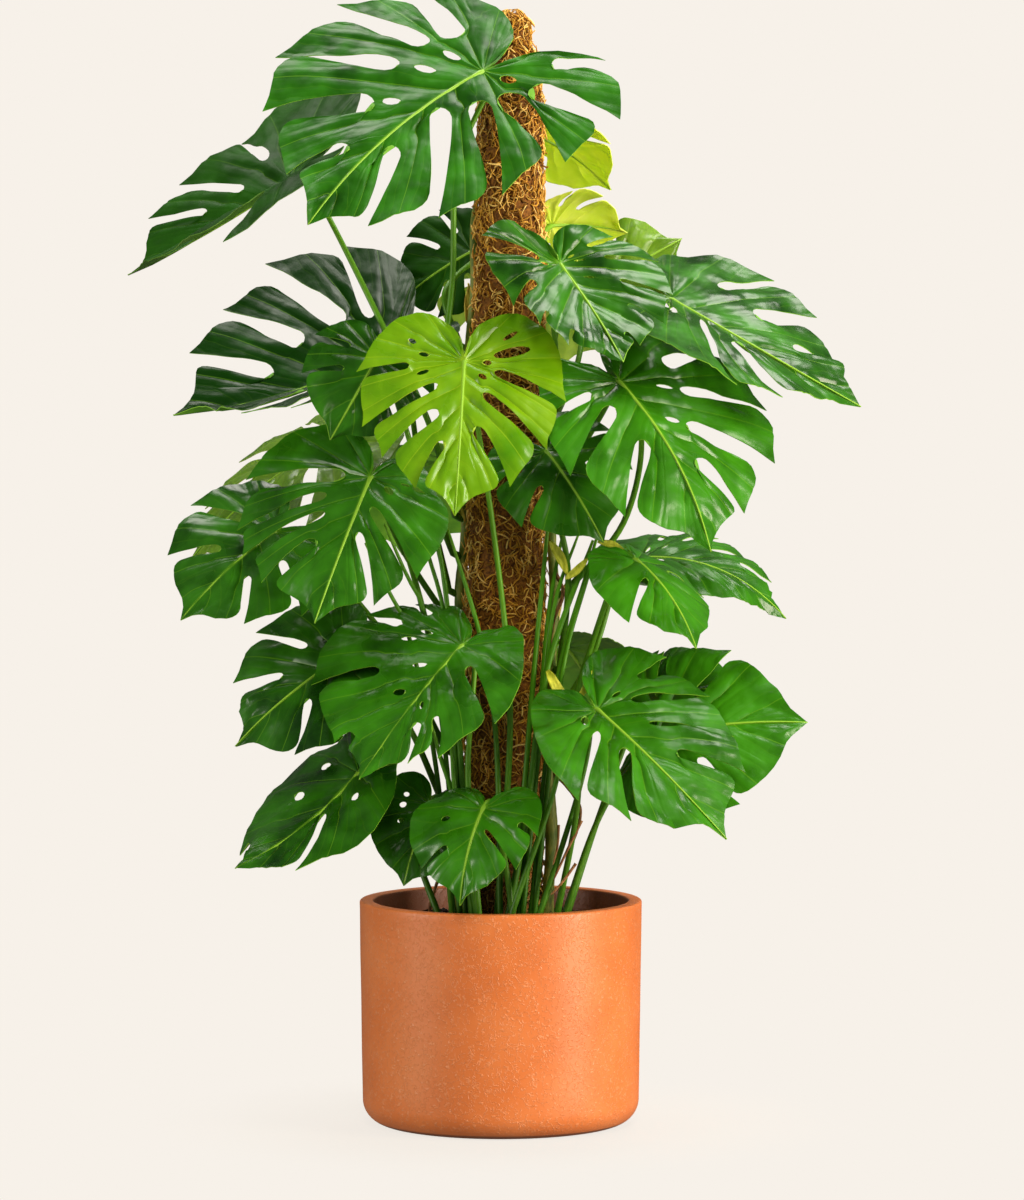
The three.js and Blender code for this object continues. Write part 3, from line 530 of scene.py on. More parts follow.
def turned(name: str, profile: list[tuple[float, float]], sides: int) -> bpy.types.Object:
    """Turns a closed body by extruding and scaling a disc along a profile.

    Args:
        name: the piece's name.
        profile: (radius, height) rows from the bottom disc to the last one, which closes the body.
        sides: how many sides it has.

    Returns:
        The new object.
    """
    bpy.ops.object.select_all(action="DESELECT")
    first_radius, height = profile[0]
    bpy.ops.mesh.primitive_circle_add(
        vertices=sides, radius=first_radius * MM, fill_type="NGON", location=(0, 0, height * MM)
    )
    piece = bpy.context.active_object
    piece.name = piece.data.name = name
    bpy.ops.object.transform_apply(location=True, rotation=True, scale=True)
    bpy.ops.object.mode_set(mode="EDIT")
    bpy.ops.mesh.select_all(action="SELECT")
    radius = first_radius
    for next_radius, next_height in profile[1:]:
        rise = (next_height - height) * MM
        bpy.ops.mesh.extrude_region_move(TRANSFORM_OT_translate={"value": (0, 0, rise)})
        scale = next_radius / radius
        bpy.ops.transform.resize(value=(scale, scale, 1), center_override=(0, 0, next_height * MM))
        radius, height = next_radius, next_height
    bpy.ops.mesh.select_all(action="SELECT")
    bpy.ops.mesh.normals_make_consistent(inside=False)
    bpy.ops.object.mode_set(mode="OBJECT")
    return piece


def places_of(piece: bpy.types.Object) -> Array:
    """Reads where the vertices of a piece are.

    Args:
        piece: the piece.

    Returns:
        The places in millimetres, one row each.
    """
    flat = np.zeros(len(piece.data.vertices) * 3)
    piece.data.vertices.foreach_get("co", flat)
    return flat.reshape(-1, 3) / MM


def put_places(piece: bpy.types.Object, points: Array) -> None:
    """Moves the vertices of a piece to places in millimetres."""
    piece.data.vertices.foreach_set("co", (points * MM).ravel())
    piece.data.update()


def rough(points: Array, wave: float, seed: float = 0.0) -> Array:
    """A soft irregular wave through space, from about -1 to 1.

    Args:
        points: where it is read, in millimetres.
        wave: its length in millimetres.
        seed: moves the pattern.

    Returns:
        One value for each point.
    """
    x, y, z = (points * (2 * np.pi / wave)).T
    first = np.sin(x + 1.7 * np.sin(0.8 * y + seed)) * np.cos(z - 1.3 * np.sin(0.7 * x + 2 * seed))
    second = np.sin(1.9 * y + 1.1 * np.sin(1.3 * z + seed)) * np.cos(1.7 * x + seed)
    return 0.6 * first + 0.4 * second


def see_through(glow: float) -> dict:
    """The shader inputs that let a thin young blade glow with the light behind it.

    Args:
        glow: how much of the light goes into the blade.

    Returns:
        The inputs by name.
    """
    radius = (1.0, 1.0, 0.3)
    return {"Subsurface Weight": glow, "Subsurface Scale": 0.003, "Subsurface Radius": radius}


@dataclass(frozen=True)
class LeafSkin:
    """The upper side of a living leaf: a green blade under a waxy cuticle, so it shines softly."""

    name: str
    deep: str
    light: str
    vein: str
    roughness: float
    shine: float
    glow: float

    def build(self) -> bpy.types.Material:
        """Makes the material, whose pattern follows the veins through the blade's own marks.

        Returns:
            The material.
        """
        material, tree, shader, place = new_material(self.name)
        vein, rib, lane, tone = (mark(tree, name) for name in BLADE_MARKS)
        # Clouds of deeper and lighter green, 45 mm across.
        cloud = noise(tree, place, 22.0, 3.0)
        shade = reckon(tree, "ADD", cloud, tone)
        body = ramp(tree, shade, (0.26, self.deep), (0.8, self.light))
        # Finer side veins run beside each main vein, about 15 mm apart, and the blade puffs up between.
        wobble = remap(tree, cloud, (0.3, 0.7), (0.8, 1.25))
        pleat = reckon(tree, "PINGPONG", reckon(tree, "MULTIPLY", lane, wobble), 7.5)
        puff = remap(tree, pleat, (0.0, 6.0), (0.0, 0.2), soft=True)
        # Pale lines, in turn along the side veins, the main veins and the midrib.
        lines = (
            remap(tree, pleat, (0.6, 0.1), (0.0, 0.08)),
            remap(tree, vein, (1.0, 0.3), (0.0, 0.3)),
            remap(tree, rib, (1.9, 1.0), (0.0, 0.3)),
        )
        for line in lines:
            body = mix_colour(tree, line, body, self.vein)
        # Soft swellings about 30 mm across break up what the skin mirrors.
        swell = noise(tree, place, 34.0, 1.5)
        height = reckon(tree, "MULTIPLY_ADD", swell, 3.0, puff)
        gloss = remap(tree, cloud, (0.3, 0.7), (self.roughness - 0.05, self.roughness + 0.1))
        bumps = relief(tree, height, 0.8, 0.0017)
        feed_node(tree, shader, {"Base Color": body, "Roughness": gloss, "Normal": bumps})
        feed_node(tree, shader, {"Specular IOR Level": self.shine, **see_through(self.glow)})
        return material


@dataclass(frozen=True)
class LeafBack:
    """The underside of a leaf: no wax, so it is paler and nearly matt."""

    name: str
    deep: str
    light: str
    glow: float = 0.0

    def build(self) -> bpy.types.Material:
        """Makes the material with soft mottling 17 mm across.

        Returns:
            The material.
        """
        material, tree, shader, place = new_material(self.name)
        body = ramp(tree, noise(tree, place, 60.0, 3.0), (0.1, self.deep), (0.9, self.light))
        feed_node(tree, shader, {"Base Color": body, "Roughness": 0.6, **see_through(self.glow)})
        return material


@dataclass(frozen=True)
class StalkSkin:
    """The skin of leaf stalks and midribs: smooth, faintly ridged along its length, paler to the leaf."""

    name: str
    low: str
    high: str
    rib: str

    def build(self) -> bpy.types.Material:
        """Makes the material. The mark way is 0 at the stem, 1 at the blade and 2 at its tip.

        Returns:
            The material.
        """
        material, tree, shader, place = new_material(self.name)
        half = reckon(tree, "MULTIPLY", mark(tree, "way"), 0.5)
        stops = (0.0, self.low), (1.0, self.rib), (0.42, self.high), (0.52, self.rib)
        body = ramp(tree, half, *stops)
        # Fine ridges 1.4 mm wide and 11 mm long run up the stalk.
        stretch = add_node(tree, "ShaderNodeMapping", {"Vector": place, "Scale": (700.0, 700.0, 90.0)})
        grain = noise(tree, stretch.outputs[0], 1.0, 2.0)
        body = mix_colour(tree, remap(tree, grain, (0.4, 0.7), (0.0, 0.22)), body, self.rib)
        feed_node(tree, shader, {"Base Color": body, "Roughness": 0.4, "Specular IOR Level": 0.3})
        return material


class LeafAge(Enum):
    """The kinds of leaf: deep, light and vein colour, then the skin's roughness, shine and glow.

    A young blade is yellower. LIME and OLIVE are thin enough to let light through, and LIME's pale yellow
    greens are also a painted glow of light coming through the blade from behind. SHADED's darker greens are
    painted shade for leaves deep in the crowd, and SHADED and SILKY have a duller wax.
    """

    MATURE = ("#0d3602", "#378208", "#78b024", 0.28, 0.42, 0.0)
    YOUNG = ("#3f7d02", "#7aa803", "#a8c826", 0.28, 0.42, 0.0)
    # LIME: pale yellow greens, partly a painted glow of light through the blade.
    LIME = ("#7fa810", "#b6d420", "#d8e860", 0.28, 0.42, 0.75)
    OLIVE = ("#3c640d", "#6c9420", "#a0b84c", 0.28, 0.42, 0.5)
    # SHADED: darker greens, painted shade for leaves deep in the crowd.
    SHADED = ("#0d3002", "#215707", "#527f1c", 0.5, 0.12, 0.0)
    SILKY = ("#0e3a02", "#318008", "#7cb42a", 0.36, 0.24, 0.0)

    def skins(self) -> list[bpy.types.Material]:
        """Makes the leaf's three materials.

        Returns:
            Those of the upper side, the underside and the rim.
        """
        deep, light, vein, roughness, shine, glow = self.value
        label = self.name.lower()
        return [
            LeafSkin(f"leaf_cuticle_{label}", deep, light, vein, roughness, shine, glow).build(),
            LeafBack(f"leaf_underside_{label}", light, vein, glow).build(),
            LeafBack(f"leaf_rim_{label}", vein, vein).build(),
        ]


@dataclass(frozen=True)
class FiredClay:
    """Terracotta: unglazed fired clay, smoothed with a wet tool, so it is satin with fine drag marks."""

    name: str = "terracotta_fired_clay"
    base: str = "#d77639"
    pale: str = "#de8247"
    burnt: str = "#cc6c31"
    inner_radius: float = 0.1352

    def build(self) -> bpy.types.Material:
        """Makes the material: soft mottling under short curved drag marks just under 1 mm wide.

        Returns:
            The material.
        """
        material, tree, shader, place = new_material(self.name)
        cloud = noise(tree, place, 14.0, 4.0)
        body = ramp(tree, cloud, (0.25, self.burnt), (0.8, self.pale), (0.5, self.base))
        # Lines along the middle level of a noise 4 mm across curve like drag marks, and a second noise
        # 5 mm across breaks them up. They are a little coarser than real ones, to show in the render.
        swirl = noise(tree, place, 250.0, 0.0, 0.8)
        off = reckon(tree, "ABSOLUTE", reckon(tree, "SUBTRACT", swirl, 0.5))
        line = remap(tree, off, (0.06, 0.01), (0.0, 1.0))
        broken = remap(tree, noise(tree, place, 210.0, 0.0), (0.38, 0.48), (0.0, 1.0))
        marks = reckon(tree, "MULTIPLY", line, broken)
        # The marks are painted paler: partly the clay's own colour and partly a painted highlight where light
        # catches their ridges.
        body = mix_colour(tree, reckon(tree, "MULTIPLY", marks, 0.17), body, "#ffc899")
        # Painted shade: the inside wall is painted darker, for the shade that falls inside the pot under the
        # leaves.
        level = add_node(tree, "ShaderNodeVectorMath", {0: place, 1: (1, 1, 0)}, operation="MULTIPLY")
        radius = add_node(tree, "ShaderNodeVectorMath", {0: level.outputs[0]}, operation="LENGTH")
        inside = remap(tree, radius.outputs["Value"], (0.1365, self.inner_radius), (0.0, 0.75))
        body = mix_colour(tree, inside, body, "#6e3a1e")
        # Grit about 1 mm across roughens the skin between the marks.
        grit = noise(tree, place, 900.0, 2.0)
        bumps = relief(tree, reckon(tree, "MULTIPLY_ADD", grit, 0.3, marks), 0.8, 0.00035)
        feed_node(tree, shader, {"Base Color": body, "Normal": bumps, "Roughness": 0.4})
        return material


@dataclass(frozen=True)
class CoirHusk:
    """Coir: coconut husk fibre, dull golden brown, darker where it is damp, and painted darker as painted
    shade where it lies deep.
    """

    name: str
    dark: str
    mid: str
    pale: str

    def build(self) -> bpy.types.Material:
        """Makes the material. The mark shade tells one fibre from the next.

        Returns:
            The material.
        """
        material, tree, shader, place = new_material(self.name)
        body = ramp(tree, mark(tree, "shade"), (0.0, self.dark), (1.0, self.pale), (0.5, self.mid))
        # Patches 2 mm across run along each fibre.
        grain = noise(tree, place, 500.0, 2.0)
        # The lowest 200 mm over the soil are damp and mossy, and dry out upwards.
        height = add_node(tree, "ShaderNodeSeparateXYZ", {0: place}).outputs[2]
        damp = remap(tree, height, (0.42, 0.24), (0.0, 0.75), soft=True)
        moss = reckon(tree, "MULTIPLY", reckon(tree, "MULTIPLY", damp, grain), 1.6)
        body = mix_colour(tree, moss, body, "#3c3a10")
        fleck = remap(tree, grain, (0.3, 0.7), (0.72, 1.2))
        grey = add_node(tree, "ShaderNodeCombineColor", {0: fleck, 1: fleck, 2: fleck}).outputs[0]
        body = mix_colour(tree, 1.0, body, grey, "MULTIPLY")
        feed_node(tree, shader, {"Base Color": body, "Roughness": 0.7, "Specular IOR Level": 0.35})
        return material


@dataclass(frozen=True)
class Mottled:
    """A plain dull finish that is mottled from one colour to another, such as bark, soil or dry leaf."""

    name: str
    dark: str
    light: str
    grain: float
    roughness: float = 0.85
    stretch: float = 1.0
    bump: float = 0.4

    def build(self) -> bpy.types.Material:
        """Makes the material. The grain is in millimetres, and stretch lengthens it upwards.

        Returns:
            The material.
        """
        material, tree, shader, place = new_material(self.name)
        across = 1 / (self.grain * MM)
        scale = (across, across, across / self.stretch)
        sized = add_node(tree, "ShaderNodeMapping", {"Vector": place, "Scale": scale})
        grain = noise(tree, sized.outputs[0], 1.0, 4.0)
        body = ramp(tree, grain, (0.36, self.dark), (0.66, self.light))
        bumps = relief(tree, grain, self.bump, 0.001)
        feed_node(tree, shader, {"Base Color": body, "Normal": bumps, "Roughness": self.roughness})
        return material


@dataclass
class Pot:
    """The terracotta cylinder pot: thick wall, rounded foot and softened rim."""

    height: float = 238.0
    rim_radius: float = 150.0
    low_radius: float = 147.0
    foot_round: float = 26.0
    wall: float = 15.0
    floor: float = 18.0
    edge_round: float = 2.5
    hand_wave: float = 0.25
    sides: int = 144

    def profile(self) -> list[tuple[float, float]]:
        """The turned profile from the flat base over the outside and the rim to the inner floor.

        Returns:
            Its (radius, height) rows.
        """
        flat = self.low_radius - self.foot_round
        rows = [(flat * 0.5, 0.0)]
        for turn in np.radians(np.linspace(0, 90, 13)):
            rows.append((flat + self.foot_round * math.sin(turn), self.foot_round * (1 - math.cos(turn))))
        for share in np.linspace(0.08, 0.96, 12):
            radius = self.low_radius + (self.rim_radius - self.low_radius) * share
            rows.append((radius, self.foot_round + (self.height - self.foot_round) * share))
        inner = self.rim_radius - self.wall
        soft = self.edge_round
        outer_middle, inner_middle, level = self.rim_radius - soft, inner + soft, self.height - soft
        turns = np.radians(np.linspace(0, 90, 5))
        rows += [(outer_middle + soft * math.cos(t), level + soft * math.sin(t)) for t in turns]
        rows += [(inner_middle - soft * math.sin(t), level + soft * math.cos(t)) for t in turns]
        rows += [(inner - 0.5, 200.0), (inner - 3, self.floor + 20)]
        rows += [(inner - 20, self.floor), (40, self.floor)]
        return rows

    def build(self) -> None:
        """Turns the pot, gives its wall the slight waves of hand smoothing and dresses it."""
        piece = turned("terracotta_pot", self.profile(), self.sides)
        points = places_of(piece)
        level = np.hypot(points[:, 0], points[:, 1])
        side = (points[:, 2] > self.foot_round) & (points[:, 2] < self.height - 6)
        wave = self.hand_wave * rough(points, 95.0) * side
        points[:, :2] *= (1 + wave / np.maximum(level, 1))[:, None]
        put_places(piece, points)
        piece.data.materials.append(FiredClay().build())
        smooth_by_angle(piece, 35)
        settle(piece, "terracotta", "pot")


@dataclass
class SoilBed:
    """Dark potting soil with crumbs, bark and a few pale bits, 24 mm below the rim."""

    wall_radius: float = 133.6
    floor: float = 18.4
    settled_from: float = 108.0
    settled_over: float = 26.0
    settled_depth: float = 3.0
    sides: int = 128
    ring: float = 3.4
    crumbs: int = 900
    flecks: int = 60
    seed: int = 11

    def lift(self, points: Array) -> Array:
        """How far the soil's top stands over its mean height, as in the CAD part but finer.

        Args:
            points: the places, one row each.

        Returns:
            One height for each place.
        """
        x, y = points[:, 0], points[:, 1]
        swell = 2 * np.sin(x / 19 + 1) * np.cos(y / 23) + 1.2 * np.sin((x + 2 * y) / 13)
        return swell + 1.3 * rough(points, 21.0) + 0.8 * rough(points, 8.0, 2.0)

    def settled(self, radius: float) -> float:
        """How far the soil has sunk at a distance from the middle, most along the wall."""
        return self.settled_depth * float(smooth((radius - self.settled_from) / self.settled_over))

    def build(self) -> None:
        """Turns the bed, roughens its top, and strews it with crumbs."""
        rows = [(60.0, self.floor), (114.0, self.floor), (131.0, self.floor + 20)]
        rows.append((self.wall_radius, SOIL_TOP - 5))
        radius = self.wall_radius - 2
        while radius > 4:
            rows.append((radius, SOIL_TOP - self.settled(radius)))
            radius -= self.ring
        bed = turned("soil_bed", rows, self.sides)
        points = places_of(bed)
        top = points[:, 2] > SOIL_TOP - 4
        points[top, 2] += self.lift(points[top])
        put_places(bed, points)
        soil = Mottled("potting_soil_peat_and_bark", "#0f0a07", "#38271a", 4.0, 0.95).build()
        bed.data.materials.append(soil)
        smooth_by_angle(bed, 50)
        settle(bed, "soil", "potting_soil")
        self.strew("soil_crumbs", soil, self.crumbs, (1.4, 4.2))
        pale = Mottled("perlite_and_wood_flecks", "#6f6250", "#b9ab92", 2.0, 0.9).build()
        self.strew("soil_flecks", pale, self.flecks, (0.8, 1.9))

    def strew(
        self, name: str, material: bpy.types.Material, count: int, sizes: tuple[float, float]
    ) -> None:
        """Copies one crumb over the soil.

        Args:
            name: the piece's name.
            material: what the crumbs are made of.
            count: how many there are.
            sizes: the smallest and the largest radius.
        """
        bpy.ops.object.select_all(action="DESELECT")
        bpy.ops.mesh.primitive_ico_sphere_add(subdivisions=1, radius=1.0)
        seed_piece = bpy.context.active_object
        ball = places_of(seed_piece) * MM
        ball_faces = np.array([list(p.vertices) for p in seed_piece.data.polygons])
        bpy.data.objects.remove(seed_piece)
        rng = np.random.default_rng(self.seed + count)
        points, faces = [], []
        for i in range(count):
            radius = (self.wall_radius - 5) * math.sqrt(rng.uniform(0.03, 1))
            turn = rng.uniform(0, 2 * np.pi)
            size = sizes[0] + (sizes[1] - sizes[0]) * rng.uniform() ** 2
            shape = ball * rng.uniform(0.6, 1.25, ball.shape) * size * rng.uniform(0.5, 1.2, 3)
            spin = rng.uniform(0, 2 * np.pi)
            c, s = math.cos(spin), math.sin(spin)
            shape[:, :2] = shape[:, :2] @ np.array([[c, s], [-s, c]])
            place = np.array([[radius * math.cos(turn), radius * math.sin(turn), SOIL_TOP]])
            place[0, 2] += self.lift(place)[0] - self.settled(radius) + size * 0.35
            points.append(shape + place)
            faces.append(ball_faces + i * len(ball))
        piece = sheet_piece(name, np.vstack(points), np.vstack(faces).tolist(), [material])
        piece.data.polygons.foreach_set("use_smooth", [False] * len(piece.data.polygons))
        settle(piece, "soil")


@dataclass
class MossPole:
    """The coir moss pole: a wooden stake in a sock of curled coconut fibre, thinner to its top."""

    bore: float = 14.5
    stake_top: float = 1164.4
    core_inset: float = 2.6
    sides: int = 72
    under_fibres: int = 3900
    over_fibres: int = 4300
    fibre_steps: int = 6
    fibre_sides: int = 3
    curl_radius: tuple[float, float] = (5, 20)
    fibre_length: tuple[float, float] = (8, 23)
    fibre_radius: tuple[float, float] = (0.5, 1.15)
    straying: float = 0.82
    stray_lift: tuple[float, float] = (2.0, 7.5)
    seed: int = 5

    def core(self) -> None:
        """The felted body under the loose fibres, painted dark as painted shade in the gaps between them,
        open at its foot for the stake.
        """
        rows = [(self.bore, self.stake_top), (self.bore, 44.0)]
        heights = np.concatenate([np.arange(44, 1150, 9.0), [1150, 1160, 1168, 1173]])
        rows += [(float(chart(SLEEVE_PROFILE, h)) - self.core_inset, float(h)) for h in heights]
        rows += [(12.0, 1176.0)]
        piece = turned("coir_core", rows, self.sides)
        points = places_of(piece)
        level = np.hypot(points[:, 0], points[:, 1])
        outside = (level > self.bore + 1) & (points[:, 2] > 60)
        bumps = (1.5 * rough(points, 17.0) + 1.1 * rough(points, 7.0, 1.0)) * outside
        points[:, :2] *= (1 + bumps / np.maximum(level, 1))[:, None]
        points[:, 0] += pole_x(points[:, 2])
        put_places(piece, points)
        # Painted shade: the felt is darker than the fibres, for the gaps between them.
        felt = Mottled("coir_felt", "#4f2c0c", "#9c6522", 3.0, 0.95, bump=0.8).build()
        piece.data.materials.append(felt)
        smooth_by_angle(piece, 60)
        settle(piece, "coir", "coir_sleeve")

    def fibres(self, name: str, husk: CoirHusk, count: int, lift: tuple[float, float], seed: int) -> None:
        """Lays curled three-sided fibres over the core, all worked out at once. Some tips stray outwards.

        Args:
            name: the piece's name.
            husk: their finish.
            count: how many there are.
            lift: how far the lowest and the highest lie over the core.
            seed: what the random draw starts from.
        """
        rng = np.random.default_rng(seed)
        steps = self.fibre_steps
        height = rng.uniform(SOIL_TOP - 6, SLEEVE_TOP - 4, count)
        turn = rng.uniform(0, 2 * np.pi, count)
        heading = rng.uniform(0, 2 * np.pi, count)
        curl = rng.choice([-1, 1], count) / rng.uniform(*self.curl_radius, count)
        reach = rng.uniform(*self.fibre_length, count) / steps
        base_lift = rng.uniform(*lift, count)
        stray = (rng.uniform(0, 1, count) > self.straying) * rng.uniform(*self.stray_lift, count)
        thick = rng.uniform(*self.fibre_radius, count)
        lines = np.zeros((count, steps + 1, 3))
        for i in range(steps + 1):
            share = i / steps
            radius = chart(SLEEVE_PROFILE, height) - self.core_inset
            radius = radius + base_lift + 1.3 * np.sin(share * np.pi) + stray * share**2
            cap = np.clip((height - 1166) / 14, 0, 1)
            radius = radius * np.sqrt(1 - 0.9 * cap**2)
            x, y = pole_x(height) + radius * np.cos(turn), radius * np.sin(turn)
            lines[:, i] = np.column_stack([x, y, np.minimum(height, SLEEVE_TOP + 2)])
            turn = turn + np.cos(heading) * reach / np.maximum(radius, 8)
            height = height + np.sin(heading) * reach
            heading = heading + curl * reach * (1 + 0.6 * np.sin(5 * share + 40 * curl))
        along = unit(np.gradient(lines, axis=1))
        out = lines - np.stack([pole_x(lines[..., 2]), 0 * lines[..., 2], lines[..., 2]], axis=-1)
        across = unit(np.cross(along, unit(out)))
        third = np.cross(along, across)
        taper = 1 - 0.55 * (2 * np.linspace(0, 1, steps + 1) - 1) ** 4
        sides = self.fibre_sides
        ring = (2 * np.pi * np.arange(sides) / sides + 0.5)[None, None, :, None]
        size = (thick[:, None] * taper)[..., None, None]
        ways = np.cos(ring) * across[:, :, None] + np.sin(ring) * third[:, :, None]
        verts = lines[:, :, None] + size * ways
        per = (steps + 1) * sides
        first = (np.arange(count) * per)[:, None, None]
        quads = (np.array(ring_faces(steps + 1, sides))[None] + first).reshape(-1, 4)
        ends = np.array([range(sides)[::-1], range(per - sides, per)])
        caps = (ends[None] + first).reshape(-1, sides)
        shade = np.repeat(rng.uniform(0, 1, count), per)
        piece = sheet_piece(
            name, verts.reshape(-1, 3), quads.tolist() + caps.tolist(), [husk.build()], {"shade": shade}
        )
        settle(piece, "coir")

    def build(self) -> None:
        """Makes the core, two layers of fibre, and the finish of the stake inside."""
        self.core()
        # The under layer is a darker copy of the husk: painted shade deep among the fibres.
        deep = CoirHusk("coir_husk_deep", "#744b10", "#bd8727", "#e8b853")
        bright = CoirHusk("coir_husk_loose", "#98630f", "#dda233", "#ffdc82")
        self.fibres("coir_under_fibres", deep, self.under_fibres, (0.3, 1.6), self.seed)
        self.fibres("coir_over_fibres", bright, self.over_fibres, (1.4, 3.4), self.seed + 1)
        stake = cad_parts["pole_stake"]
        stake.data.materials.clear()
        stake.data.materials.append(Mottled("pine_stake", "#8a6236", "#b98f58", 3.0, 0.75, 30.0).build())


@dataclass(frozen=True)
class Stem:
    """One climbing vine stem and the heights of its old sheaths, as in the CAD part."""

    name: str
    side: float
    turn: float
    top: float
    radius: float
    sheaths: tuple[float, ...]
    foot: float = SOIL_TOP - 62
    row: float = 58.0
    rings: int = 12
    sides: int = 14

    def radius_at(self, height: Array | float) -> Array:
        """The stem's plain radius at a height, without its knuckles."""
        climb = np.maximum(0, (height - SOIL_TOP) / (self.top - SOIL_TOP))
        return self.radius * (1 - 0.35 * climb)

    def middle(self, height: Array | float) -> Array:
        """The stem's middle at a height, pressed to the pole.

        Args:
            height: one height or an array of them.

        Returns:
            The points, one row each.
        """
        height = np.asarray(height, float)
        turn = np.radians(self.side + self.turn * (height - SOIL_TOP) / (self.top - SOIL_TOP))
        pole = chart(SLEEVE_PROFILE, np.minimum(height, 1060))
        off = pole + 1.6 + self.radius + 1.6 * np.sin(height / 21)
        return np.stack([pole_x(height) + off * np.cos(turn), off * np.sin(turn), height], axis=-1)

    def out(self, height: float) -> Array:
        """The level direction from the pole's middle through the stem at a height."""
        way = self.middle(height) - np.array([pole_x(height), 0, height])
        return unit(way)

    def build(self, bark: bpy.types.Material) -> None:
        """Sweeps the stem with its knuckles and ring scars.

        Args:
            bark: its material.
        """
        rows = round((self.top - self.foot) / self.row)
        spacing = (self.top - self.foot) / rows
        heights = np.linspace(self.foot, self.top, rows * self.rings + 1)
        phase = (heights - self.foot) / spacing
        knuckle = 0.93 - 0.07 * np.cos(np.pi * phase)
        # Each joint swells, with two ring scars of old leaves close together on it.
        scar = 0.05 * np.exp(-((((phase + 1) % 2) / 0.09) ** 2))
        scar = scar + 0.05 * np.exp(-((((phase + 0.8) % 2) / 0.07) ** 2))
        radii = self.radius_at(heights) * (knuckle + scar)
        end = smooth((self.top - heights) / 30)
        points, faces = tube(self.middle(heights), 2 + (radii - 2) * end, self.sides)
        points += unit(np.random.default_rng(3).normal(size=points.shape)) * 0.12
        piece = sheet_piece(self.name + "_bark", points, faces, [bark])
        settle(piece, "stem", self.name)


STEMS: tuple[Stem, ...] = (
    Stem("vine_stem_1", -14, 14, 830, 7.5, (410, 535, 660)),
    Stem("vine_stem_2", 52, 22, 1075, 8, (500, 770, 930)),
    Stem("vine_stem_3", 168, -26, 985, 7.5, (480, 640, 850)),
    Stem("vine_stem_4", 112, -6, 900, 7.5, (430, 690)),
)


@dataclass
class Sheaths:
    """The dry papery sheaths that old leaves leave at the stem's knuckles."""

    length: float = 46.0
    width: float = 13.0
    thickness: float = 0.5
    lean: float = 0.34
    rows: int = 12
    columns: int = 7

    def one(self, foot: Array, out: Array, seed: int) -> tuple[Array, list]:
        """A cupped pointed sheath that leans away from the stem.

        Args:
            foot: where it leaves the stem.
            out: the level direction away from the stem.
            seed: varies its curl.

        Returns:
            Its vertices and faces.
        """
        side = np.cross([0, 0, 1.0], out)
        share = np.linspace(0, 1, self.rows)[:, None]
        across = np.linspace(-1, 1, self.columns)[None]
        wide = self.width / 2 * np.sin(np.pi * (0.2 + 0.8 * share) ** 0.8) ** 0.8 * (1 - share**6)
        cup = 0.45 * self.width * (across**2) * (1 - 0.6 * share)
        curl = 0.5 * math.sin(seed * 2.3)
        off = self.lean * self.length * share**1.6 - cup
        up = self.length * share * (1 - 0.25 * self.lean * share)
        bend = self.width * curl * share**2 + 0.8 * np.sin(across * 5 + seed) * share
        points = (
            foot
            + off[..., None] * out
            + (wide * across + bend)[..., None] * side
            + (up + 0 * across)[..., None] * np.array([0, 0, 1.0])
        )
        return points.reshape(-1, 3), grid_faces(self.rows, self.columns)

    def build(self) -> None:
        """Makes all the sheaths as one piece, turned left and right by turns."""
        shapes = []
        for stem in STEMS:
            for i, height in enumerate(stem.sheaths):
                out = stem.out(height)
                away = unit(out + np.cross([0, 0, 1.0], out) * (0.8 if i % 2 else -0.8))
                foot = stem.middle(height) + away * stem.radius * 0.9
                shapes.append(self.one(foot, away, i + len(stem.name) + int(height)))
        papery = Mottled("papery_leaf_sheath", "#b0922e", "#e6d660", 5.0, 0.6, 6.0, 0.5).build()
        piece = sheet_piece("papery_sheaths", *join_shapes(shapes), [papery])
        thicken(piece, self.thickness)
        settle(piece, "stem")


# Half a blade's margin: (angle from the tip's direction, reach from the sinus as a share of the length).
MARGIN: Pairs = (
    (0, 1), (4, 0.92), (9, 0.875), (20, 0.85), (38, 0.79), (60, 0.745), (85, 0.655), (105, 0.575),
    (125, 0.49), (142, 0.375), (158, 0.23), (170, 0.1), (178, 0.03),
)
BASE_LINES = (176.0, 152.0, 126.0, 104.0)


def vein_foot(angle: Array) -> Array:
    """Where the vein at an angle leaves the midrib, as a share of the blade's length.

    Args:
        angle: degrees from the tip's direction.

    Returns:
        0 at the sinus, up to 1 at the tip.
    """
    near_tip = 0.348 + 0.652 * (np.clip(20 - angle, 0, 20) / 20) ** 1.5
    along = 0.5 * (1 - angle / 66)
    return np.where(angle >= 66, 0.0, np.where(angle >= 20, along, near_tip))


def spot(angle: Array, out: Array) -> tuple[Array, Array]:
    """A place on half a flat blade, along a vein and a share of the way out to the margin.

    Args:
        angle: the vein's angle in degrees from the tip's direction.
        out: 0 at the midrib and 1 at the margin.

    Returns:
        How far it lies along the midrib and across it, as shares of the length.
    """
    turn = np.radians(angle)
    foot, reach = vein_foot(angle), eased_chart(MARGIN, angle)
    bow = 0.14 * out * (1 - out) * reach * np.maximum(0, np.cos(turn))
    return foot + (reach * np.cos(turn) - foot) * out - bow, reach * np.sin(turn) * out


